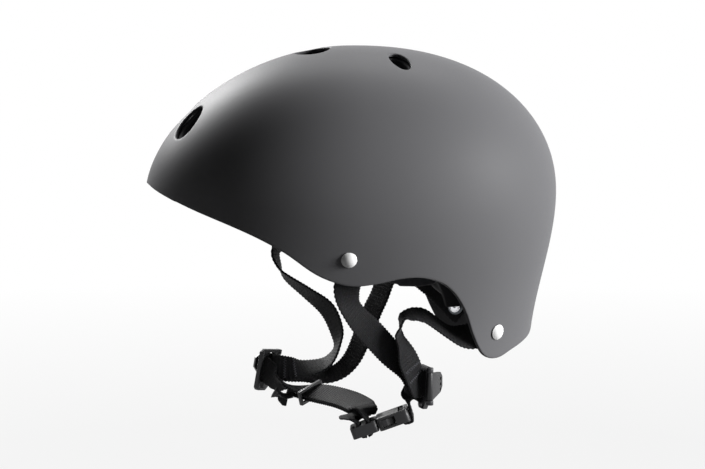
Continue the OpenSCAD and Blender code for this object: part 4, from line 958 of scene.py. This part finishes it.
def bar_tacks(name, route, thick, runs, material):
    """Zigzag rows of thread across a strap, on both faces, at distances back from its end."""
    line, way, across, face, at = stations(route, 0.5)
    points, alongs, outs = [], [], []
    for run in runs:
        i = int(np.argmin(np.abs(at - (at[-1] - run))))
        for side in (1, -1):
            for k in range(15):
                x = lerp(-TACK_HALF, TACK_HALF, k / 14)
                points.append(line[i] + across[i] * x + face[i] * side * (thick / 2 + 0.12))
                alongs.append(across[i] * 0.45 + way[i] * (1 if k % 2 else -1))
                outs.append(face[i] * side)
    return sewn(name, points, alongs, outs, material, *TACK_STITCH)


# Pads.

# Azimuths of the ends, heights of the lower edge there, of the upper one, and the lower's sag.
PADS = {
    "front_pad": (142, 218, 44, 44, 68, 68, 0),
    "left_side_pad": (274, 306, -20, -25, 24, 24, 5.5),
    "right_side_pad": (54, 86, -25, -20, 24, 24, 5.5),
    "rear_pad": (-30, 30, -12, -12, 22, 22, 0),
}
CROWN_PAD_X = 21
CROWN_PAD_R = 26


def pad_point(pad, s, t, inset):
    from_u, to_u, low_a, low_b, high_a, high_b, bow = PADS[pad]
    u = lerp(from_u, to_u, s)
    low = lerp(low_a, low_b, s) - 4 * bow * s * (1 - s)
    high = lerp(high_a, high_b, s)
    return wall_lat(u, lerp(lat_at(u, low, inset), lat_at(u, high, inset), t), inset)


def crown_level(x, y, inset):
    u = np.degrees(np.arctan2(y, x))
    share = np.clip(np.hypot(x, y) / plan_radius(u, inset), 0, 1) ** (around(u, SPAN) / 2)
    return wall_lat(u, np.degrees(np.arccos(share)), inset)[..., 2]


def pad_depth(pad, points):
    """How far points lie inside the liner's face, in millimetres."""
    if pad == "crown_pad":
        return crown_level(points[:, 0], points[:, 1], PAD_INSET) - points[:, 2]
    u = np.degrees(np.arctan2(points[:, 1], points[:, 0]))
    return ((wall(u, points[:, 2], PAD_INSET) - points) * wall_normal(u, points[:, 2])).sum(1)


def swollen(obj, pad, voxel, cap):
    """Fills a pad's cover: cloth under pressure, held along the face that is stuck down."""
    scene = bpy.context.scene
    remesh = obj.modifiers.new("Voxels", "REMESH")
    remesh.mode = "VOXEL"
    remesh.voxel_size = voxel * MM
    settled(obj)
    rest = np.array([v.co for v in obj.data.vertices])
    depth = pad_depth(pad, rest / MM)
    group = obj.vertex_groups.new(name="Back")
    group.add([int(i) for i in np.nonzero(depth < 1.2)[0]], 1.0, "REPLACE")
    cloth = obj.modifiers.new("Cover", "CLOTH")
    cloth.settings.vertex_group_mass = "Back"
    cloth.settings.use_pressure = True
    cloth.settings.uniform_pressure_force = 4
    cloth.settings.effector_weights.gravity = 0
    cloth.point_cache.frame_start = 1
    cloth.point_cache.frame_end = 20
    for k in range(1, 21):
        scene.frame_set(k)
    settled(obj)
    scene.frame_set(1)
    now = np.array([v.co for v in obj.data.vertices])
    move = now - rest
    size = np.linalg.norm(move, axis=1, keepdims=True)
    now = rest + move * np.minimum(1, cap * MM / np.maximum(size, 1e-9))
    obj.data.vertices.foreach_set("co", now.astype(np.float32).ravel())
    obj.vertex_groups.clear()
    fine = obj.modifiers.new("Smooth", "SUBSURF")
    fine.levels = fine.render_levels = 1
    return settled(obj)


def pad_seam(pad, obj, inset_mm, pitch):
    """Points on a pad's face along its sewn edge, with their directions."""
    if pad == "crown_pad":
        r = CROWN_PAD_R - inset_mm
        a = np.linspace(0, 2 * math.pi, 240, endpoint=False)
        x, y = CROWN_PAD_X + r * np.cos(a), r * np.sin(a)
        path = np.stack([x, y, crown_level(x, y, PAD_INSET) - 6], -1)
    else:
        left, right, low, high = (pad_point(pad, s, t, PAD_INSET)
                                  for s, t in ((0, 0.5), (1, 0.5), (0.5, 0), (0.5, 1)))
        wide = np.linalg.norm(right - left) * 1.1
        tall = np.linalg.norm(high - low)
        a, b = inset_mm / wide, inset_mm / tall
        k = np.linspace(0, 1, 80, endpoint=False)
        s = np.concatenate([lerp(a, 1 - a, k), np.full(80, 1 - a), lerp(1 - a, a, k), np.full(80, a)])
        t = np.concatenate([np.full(80, b), lerp(b, 1 - b, k), np.full(80, 1 - b), lerp(1 - b, b, k)])
        path = pad_point(pad, s, t, PAD_INSET + PAD_T)
    tree = BVHTree.FromPolygons([v.co for v in obj.data.vertices],
                                [tuple(p.vertices) for p in obj.data.polygons])
    closed = np.vstack([path, path[:1]])
    run = run_along(closed)
    n = int(run[-1] / pitch)
    spots, outs = [], []
    for p in spaced(np.arange(n) * run[-1] / n, run, closed):
        hit, normal, _, _ = tree.find_nearest(Vector(p * MM))
        spots.append(np.array(hit) / MM + np.array(normal) * 0.05)
        outs.append(np.array(normal))
    spots = np.array(spots)
    return spots, np.roll(spots, -1, 0) - np.roll(spots, 1, 0), np.array(outs)


# Settings.

def colour(name, description, code):
    return bpy.props.FloatVectorProperty(name=name, description=description, subtype="COLOR",
                                         size=3, min=0, max=1, default=linear(code))


def amount(name, description, value, low, high, **kind):
    return bpy.props.FloatProperty(name=name, description=description, default=value,
                                   min=low, max=high, **kind)


def length(name, description, value, low, high):
    return amount(name, description, value * MM, low * MM, high * MM, unit="LENGTH", precision=5)


def share(name, description, value, low, high):
    return amount(name, description, value, low, high, subtype="FACTOR")


def power(name, description, value):
    return amount(name, description, value, 0, 1000, unit="POWER")


def turn(name, description, degrees):
    return amount(name, description, math.radians(degrees), -math.pi, math.pi, subtype="ANGLE")


class HelmetShellSettings(bpy.types.PropertyGroup):
    colour: colour("Shell colour", "Colour of the lacquered shell", "#5e5e60")
    foam: colour("Foam colour", "Colour of the foam liner", "#1d1d1f")
    lip: length("Lip radius", "Rounding of the shell's rim and vents", 0.8, 0.3, 1.2)
    spacing: length("Mesh spacing", "Distance between the wall's points", 2.8, 2, 8)
    rough: share("Roughness", "Roughness of the lacquer", 0.5, 0.2, 0.8)


class HelmetWebbingSettings(bpy.types.PropertyGroup):
    colour: colour("Webbing colour", "Colour of the straps", "#161618")
    thread: colour("Thread colour", "Colour of the stitches", "#34343a")
    rib_pitch: length("Rib pitch", "Distance between the cross ribs", 2.4, 1.2, 4)
    rib_depth: share("Rib depth", "Rise of a rib, as a share of the thickness", 0.09, 0, 0.2)


class HelmetPadSettings(bpy.types.PropertyGroup):
    colour: colour("Pad colour", "Colour of the pads' cover", "#38383c")
    voxel: length("Cover spacing", "Distance between the cover's points before it is filled", 2.2, 1.5, 6)
    swell: length("Swell", "Furthest that the cover moves when it is filled", 1.3, 0, 4)


class HelmetPlasticSettings(bpy.types.PropertyGroup):
    black: colour("Black plastic", "Colour of the buckle and the dial", "#1f1f21")
    grey: colour("Grey plastic", "Colour of the dividers' frames, the racks and the pinion", "#2b2b2e")
    chrome: colour("Chrome", "Tint of the rivets", "#e4e5e8")
    steel: colour("Steel", "Tint of the washers, screws and spring", "#606367")
    edge: length("Edge radius", "Rounding of the moulded edges", 0.3, 0.1, 0.6)


class HelmetStageSettings(bpy.types.PropertyGroup):
    floor: length("Floor height", "Height of the floor in the helmet's frame", -200, -400, -125)
    pale: colour("Floor colour", "Colour of the floor", "#505050")
    azimuth: turn("Azimuth", "Camera's turn about the helmet", -9)
    elevation: turn("Elevation", "Camera's height above the level", 6)
    distance: length("Distance", "Distance of the camera", 2000, 500, 5000)
    key: power("Key light", "Power of the soft light on the rear", 72)
    edge: power("Edge light", "Power of the soft light behind the front", 42)
    top: power("Top light", "Power of the soft light over the crown", 22)
    air: share("Room light", "Strength of the light from all round", 0.02, 0, 1)


SETTINGS = (("helmet_shell", HelmetShellSettings), ("helmet_webbing", HelmetWebbingSettings),
            ("helmet_pads", HelmetPadSettings), ("helmet_plastic", HelmetPlasticSettings),
            ("helmet_stage", HelmetStageSettings))


# Operators.

class HELMET_OT_shell(bpy.types.Operator):
    """Make the hard shell with its rounded rim and vents"""
    bl_idname = "helmet.shell"
    bl_label = "Hard shell"

    def execute(self, context):
        chosen = context.scene.helmet_shell
        lip, spacing = chosen.lip / MM, chosen.spacing / MM
        turns = rim_azimuths(420)
        outer = wall_sheet(0, rim_z, 0, lip, spacing, turns)
        inner = wall_sheet(SHELL_T, rim_z, 0, lip, spacing, turns)
        obj = wall_mesh("shell", outer, inner, lip, lip * 0.6)
        coat(obj, shell_finish(chosen.colour, chosen.rough))
        place(obj, "helmet", "shell", "outer_shell")
        return {"FINISHED"}


class HELMET_OT_liner(bpy.types.Operator):
    """Make the foam liner with its vents, strap pockets and pin holes"""
    bl_idname = "helmet.liner"
    bl_label = "Foam liner"

    def execute(self, context):
        chosen = context.scene.helmet_shell
        turns = rim_azimuths(300)
        outer = wall_sheet(SHELL_T + LINER_GAP, liner_rim_z, 1, 1.5, 4.5, turns, 48)
        inner = wall_sheet(SHELL_T + LINER_GAP + LINER_T, lambda u: liner_rim_z(u) + 3, 1, 1, 4, turns, 48)
        obj = wall_mesh("liner", outer, inner, 1.5, 1.0)
        cutters = []
        for (azimuth, z), wide, tall, deep in POCKETS:
            for u in (azimuth, 360 - azimuth):
                cutters.append(self.pocket(u, z, wide, tall, deep))
        for u in (ANCHOR_U, 360 - ANCHOR_U):
            seat = wall(u, ANCHOR_Z, ANCHOR_INSET)
            cutters.append(self.hole(seat, wall_normal(u, ANCHOR_Z), *ANCHOR_HOLE))
        for y in (-BRACKET_PIN_Y, BRACKET_PIN_Y):
            seat = wall(0, BRACKET_Z, BRACKET_INSET) + [0, y, 0]
            cutters.append(self.hole(seat, (1, 0, 0), *BRACKET_HOLE))
        for cutter in cutters:
            cut = obj.modifiers.new("Pocket", "BOOLEAN")
            cut.operation = "DIFFERENCE"
            cut.solver = "EXACT"
            cut.object = cutter
        settled(obj)
        discard(*cutters)
        soften(obj, 40)
        coat(obj, foam_finish(chosen.foam))
        place(obj, "helmet", "foam", "foam_liner")
        return {"FINISHED"}

    def pocket(self, u, z, wide, tall, deep):
        """A rounded box that leaves a space for a strap, from a depth in the foam outwards."""
        at, down, across, out = aimed(wall(u, z, 0), wall_normal(u, z))
        corners = [at + down * (a * tall / 2) + across * (b * wide / 2) + out * (c - SHELL_T - deep)
                   for c in (0, 20) for a, b in ((-1, -1), (1, -1), (1, 1), (-1, 1))]
        faces = [(0, 3, 2, 1), (4, 5, 6, 7), (0, 1, 5, 4), (1, 2, 6, 5), (2, 3, 7, 6), (3, 0, 4, 7)]
        obj = new_object("pocket", np.array(corners) * MM, faces)
        bevel = obj.modifiers.new("Corners", "BEVEL")
        bevel.width = 3 * MM
        bevel.segments = 3
        return settled(obj)

    def hole(self, at, out, wide, deep):
        obj = lathe("hole", [(0, -deep), (wide / 2, -deep), (wide / 2, deep), (0, deep)], 24)
        turn = Vector((0, 0, 1)).rotation_difference(Vector(out)).to_matrix().to_4x4()
        obj.data.transform(Matrix.Translation(Vector(at) * MM) @ turn)
        return obj


class HELMET_OT_pads(bpy.types.Operator):
    """Make the comfort pads: crowned covers filled over foam, with a sewn edge"""
    bl_idname = "helmet.pads"
    bl_label = "Comfort pads"

    def execute(self, context):
        chosen = context.scene.helmet_pads
        cover = pad_finish(chosen.colour)
        thread = shared_thread(context.scene)
        for pad in list(PADS) + ["crown_pad"]:
            obj = cad_copy(pad, pad.replace("_pad", "_cushion"))
            swollen(obj, pad, chosen.voxel / MM, chosen.swell / MM)
            obj.data.shade_smooth()
            coat(obj, cover)
            place(obj, "helmet", "pad", pad)
            spots, alongs, outs = pad_seam(pad, obj, SEAM_IN, SEAM_PITCH)
            seam = sewn(pad.replace("_pad", "_seam"), spots, alongs, outs, thread, *SEAM_STITCH)
            place(seam, "helmet", "pad")
        return {"FINISHED"}


class HELMET_OT_straps(bpy.types.Operator):
    """Make the webbing: four straps, the chin web, the chin strap and its tail"""
    bl_idname = "helmet.straps"
    bl_label = "Webbing straps"

    def execute(self, context):
        chosen = context.scene.helmet_webbing
        weave = webbing_finish(chosen.colour)
        pitch, depth = chosen.rib_pitch / MM, chosen.rib_depth
        routes = {"left_front": left_front_route(), "left_rear": left_rear_route(),
                  "right_front": right_front_route(), "right_rear": right_rear_route()}
        straps = [(name + "_strap", name + "_webbing", route) for name, route in routes.items()]
        for part, name, route in straps + [("left_chin_web", "buckle_webbing", chin_web_route())]:
            obj = coat(webbing(name, route, WEB_W, WEB_T, pitch, depth), weave)
            place(obj, "helmet", "webbing", part)
        thread = shared_thread(context.scene)
        for name, route in routes.items():
            place(bar_tacks(name + "_tack", route, WEB_T, STRAP_TACKS, thread), "helmet", "webbing")
        chin = coat(webbing("chin_webbing", chin_route(), WEB_W, WEB_T, pitch, depth), weave)
        tail = coat(webbing("tail_webbing", tail_route(), WEB_W - 1, WEB_T, pitch, depth, hem=HEM), weave)
        hem = bar_tacks("tail_tack", tail_route(), WEB_T * 1.55, HEM_TACKS, thread)
        for obj, parts in ((chin, ["chin_strap"]), (tail, ["strap_tail"]), (hem, [])):
            place(obj, None, "webbing", *parts)
            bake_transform(obj)
        return {"FINISHED"}


class HELMET_OT_rivets(bpy.types.Operator):
    """Make the four rivets that hold the straps, and finish their washers"""
    bl_idname = "helmet.rivets"
    bl_label = "Rivets and washers"

    def execute(self, context):
        chosen = context.scene.helmet_plastic
        # Nickel and chrome plate on steel, polished: a near mirror with a cool tint.
        chrome = metal_finish("Chrome plate, polished", chosen.chrome, 0.07, 0.03)
        # Zinc plate on pressed steel: greyer and duller, with fine handling marks.
        steel = metal_finish("Zinc-plated steel, pressed", chosen.steel, 0.42, 0.2)
        cap_r = (CAP_D ** 2 / 4 + CAP_H ** 2) / (2 * CAP_H)
        edge = math.asin(CAP_D / 2 / cap_r)
        top = 0.5 + CAP_H
        dome = [(cap_r * math.sin(edge * k / 9), top - cap_r + cap_r * math.cos(edge * k / 9))
                for k in range(1, 9)]
        rim = CAP_D / 2
        shank = 2.45
        foot = -(WEB_INSET + WEB_T / 2 + 0.4 + 1.1)
        profile = [(0, top)] + dome + [
            (rim - 0.05, 0.75), (rim, 0.62), (rim - 0.05, 0.52), (rim - 0.2, 0.5), (shank, 0.5),
            (shank, foot), (3.6, foot), (4, foot - 0.4), (4, foot - 1), (3.5, foot - 1.4),
            (1.2, foot - 1.4), (1, foot - 0.9), (0, foot - 0.8)]
        for name, part, (azimuth, z) in (("front_rivet_pair", "front_rivets", FRONT_RIVET),
                                         ("rear_rivet_pair", "rear_rivets", REAR_RIVET)):
            spots, outs, alongs = [], [], []
            for u in (azimuth, 360 - azimuth):
                at, down, _, out = aimed(wall(u, z, 0), wall_normal(u, z))
                spots.append(at)
                alongs.append(down)
                outs.append(out)
            obj = copies(name, spots, alongs, outs, lathe("rivet", profile, 64), chrome)
            obj.data.materials.append(steel)
            for face in obj.data.polygons:
                offsets = [np.array(face.center) / MM - spot for spot in spots]
                nearest = int(np.argmin(np.linalg.norm(offsets, axis=1)))
                face.material_index = int(offsets[nearest] @ outs[nearest] < foot + 0.05)
            soften(obj, 50)
            place(obj, "helmet", "chrome", part)
        for name in ("rivet_washers", "cover_screws", "dial_spring"):
            dress(name, steel)
        return {"FINISHED"}


class HELMET_OT_hardware(bpy.types.Operator):
    """Make the strap dividers, the buckle and the keeper with moulded edges"""
    bl_idname = "helmet.hardware"
    bl_label = "Dividers, buckle and keeper"

    def execute(self, context):
        chosen = context.scene.helmet_plastic
        black, grey = shared_plastics(chosen)
        edge = chosen.edge / MM
        for side in ("left", "right"):
            moulded(side + "_divider_frame", side + "_divider_plate", edge, grey, "grey_plastic")
        for side in ("left", "right"):
            moulded(side + "_divider_lock", side + "_divider_flap", edge, black, "black_plastic")
            dress(side + "_latch_arm", black)
        for part, name, wider in (("buckle_housing", "buckle_socket", 1.5),
                                  ("buckle_insert", "buckle_plug", 1.5),
                                  ("keeper_ring", "keeper_loop", 1.4)):
            moulded(part, name, edge * wider, black, "black_plastic")
        return {"FINISHED"}


class HELMET_OT_dial(bpy.types.Operator):
    """Make the nape dial's case, cover, hanger and bands, and finish its knob, gears and pins"""
    bl_idname = "helmet.dial"
    bl_label = "Nape dial"

    def execute(self, context):
        chosen = context.scene.helmet_plastic
        black, grey = shared_plastics(chosen)
        for part, name in (("dial_housing", "dial_case"), ("dial_cover", "dial_back"),
                           ("nape_bracket", "nape_hanger")):
            moulded(part, name, chosen.edge / MM, black, "black_plastic")
        for material, parts in ((black, ("dial_knob", "bracket_pins", "band_anchors")),
                                (grey, ("dial_pinion", "left_band_rack", "right_band_rack"))):
            for part in parts:
                dress(part, material)
        for side, name, u in ((-1, "left", ANCHOR_U), (1, "right", 360 - ANCHOR_U)):
            band = coat(webbing(name + "_nape_band", band_route(side), BAND_W, BAND_T, 4, 0), black)
            place(band, None, "black_plastic", name + "_fit_band")
            rack = np.array(band_route(side)[0][0]) * MM
            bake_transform(band)
        return {"FINISHED"}


class HELMET_OT_stage(bpy.types.Operator):
    """Make the floor, the soft lights, the white surroundings and the camera"""
    bl_idname = "helmet.stage"
    bl_label = "Stage"

    def execute(self, context):
        scene = context.scene
        chosen = scene.helmet_stage
        self.floor(chosen)
        self.world(scene, chosen)
        a, e = chosen.azimuth, chosen.elevation
        back = Vector((math.sin(a) * math.cos(e), -math.cos(a) * math.cos(e), math.sin(e)))
        data = bpy.data.cameras.new("Camera")
        data.sensor_width = 36
        data.lens = LENS
        data.clip_end = 200
        camera = linked("Camera", data)
        camera.location = Vector(AIM) * MM + back * chosen.distance
        camera.rotation_euler = (-back).to_track_quat("-Z", "Y").to_euler()
        scene.camera = camera
        for name, spot, size, strength in (("Key", (1.66, -0.8, 0.5), (0.8, 0.8), chosen.key),
                                           ("Edge", (-0.68, 1.6, 0.9), (0.8, 0.6), chosen.edge),
                                           ("Top", (0.15, 0.95, 1.5), (1.3, 0.5), chosen.top)):
            lamp = bpy.data.lights.new(name, "AREA")
            lamp.shape = "RECTANGLE"
            lamp.size, lamp.size_y = size
            lamp.energy = strength
            light = linked(name, lamp)
            light.location = spot
            light.rotation_euler = (-Vector(spot)).to_track_quat("-Z", "Y").to_euler()
        scene.view_settings.view_transform = "Standard"
        return {"FINISHED"}

    def floor(self, chosen):
        height = chosen.floor / MM
        obj = lathe("floor", [(r, height) for r in (0, 300, 1000, 4000, 20000, 60000)], 48)
        # Matt painted board. The camera and mirrors see it nearly white, so that the
        # surroundings are plain, and a share of its own light keeps the shadow.
        material, add, spot = started("Painted board, matt")
        off = add("ShaderNodeVectorMath", {0: spot}, operation="LENGTH")
        far = add("ShaderNodeMapRange", {"From Min": 0.5, "From Max": 1.4, "To Min": 0.86, "To Max": 1.0,
                                         "Value": (off, "Value")})
        path = add("ShaderNodeLightPath")
        seen = add("ShaderNodeMath", {0: (path, "Is Camera Ray"), 1: (path, "Is Glossy Ray")},
                   operation="MAXIMUM")
        white_share = add("ShaderNodeMath", {0: (seen, "Value"), 1: (far, "Result")}, operation="MULTIPLY")
        grain = add("ShaderNodeTexNoise", {"Scale": 300.0, "Vector": spot})
        relief = add("ShaderNodeBump", {"Strength": 0.05, "Distance": 0.5 * MM, "Height": (grain, "Fac")})
        board = add("ShaderNodeBsdfPrincipled", {"Base Color": opaque(chosen.pale), "Roughness": 0.85,
                                                 "Normal": (relief, "Normal")})
        white = add("ShaderNodeEmission", {"Strength": 1.0})
        mixed = add("ShaderNodeMixShader", {0: (white_share, "Value"), 1: (board, "BSDF"),
                                            2: (white, "Emission")})
        add("ShaderNodeOutputMaterial", {"Surface": (mixed, "Shader")})
        coat(obj, material)

    def world(self, scene, chosen):
        scene.world = bpy.data.worlds.new("Studio")
        add = emptied(scene.world)
        # White all round, except that mirrors alone see a painted dark reflection in one direction, up and
        # to the front left.
        path = add("ShaderNodeLightPath")
        spot = add("ShaderNodeTexCoord")
        dark_reflection_aim = add("ShaderNodeVectorMath", {0: (spot, "Generated"), 1: (-0.66, -0.42, 0.62)},
                     operation="DOT_PRODUCT")
        # Painted dark reflection: towards that direction, what mirrors see falls to 3% of the white.
        outside_painted_dark_reflection = add("ShaderNodeMapRange", {"From Min": 0.82, "From Max": 0.95, "To Min": 1.0, "To Max": 0.03,
                                         "Value": (dark_reflection_aim, "Value")}, interpolation_type="SMOOTHSTEP")
        mirrored = add("ShaderNodeMath", {0: (path, "Is Glossy Ray"), 1: (outside_painted_dark_reflection, "Result")},
                       operation="MULTIPLY")
        direct = add("ShaderNodeMath", {0: (path, "Is Camera Ray"), 1: (path, "Is Transmission Ray")},
                     operation="MAXIMUM")
        seen = add("ShaderNodeMath", {0: (direct, "Value"), 1: (mirrored, "Value")}, operation="MAXIMUM")
        air, plain = (add("ShaderNodeBackground", {"Color": (1, 1, 1, 1), "Strength": strength})
                      for strength in (chosen.air, 1.0))
        mixed = add("ShaderNodeMixShader", {0: (seen, "Value"), 1: (air, "Background"),
                                            2: (plain, "Background")})
        add("ShaderNodeOutputWorld", {"Surface": (mixed, "Shader")})


OPERATORS = (HELMET_OT_stage, HELMET_OT_shell, HELMET_OT_liner, HELMET_OT_pads, HELMET_OT_straps,
             HELMET_OT_rivets, HELMET_OT_hardware, HELMET_OT_dial)


class HELMET_PT_parts(bpy.types.Panel):
    """Lists the helmet's pieces and their settings"""
    bl_idname = "HELMET_PT_parts"
    bl_label = "Skate helmet"
    bl_space_type = "VIEW_3D"
    bl_region_type = "UI"
    bl_category = "Helmet"

    def draw(self, context):
        for operator in OPERATORS:
            self.layout.operator(operator.bl_idname)
        for key, group in SETTINGS:
            box = self.layout.box()
            for name in group.__annotations__:
                box.prop(getattr(context.scene, key), name)


def register():
    for key, group in SETTINGS:
        bpy.utils.register_class(group)
        setattr(bpy.types.Scene, key, bpy.props.PointerProperty(type=group))
    for operator in OPERATORS:
        bpy.utils.register_class(operator)
    bpy.utils.register_class(HELMET_PT_parts)


def unregister():
    bpy.utils.unregister_class(HELMET_PT_parts)
    for operator in reversed(OPERATORS):
        bpy.utils.unregister_class(operator)
    for key, group in reversed(SETTINGS):
        delattr(bpy.types.Scene, key)
        bpy.utils.unregister_class(group)


def main():
    register()
    for operator in OPERATORS:
        getattr(bpy.ops.helmet, operator.bl_idname.split(".")[1])()


if __name__ == "__main__":
    main()
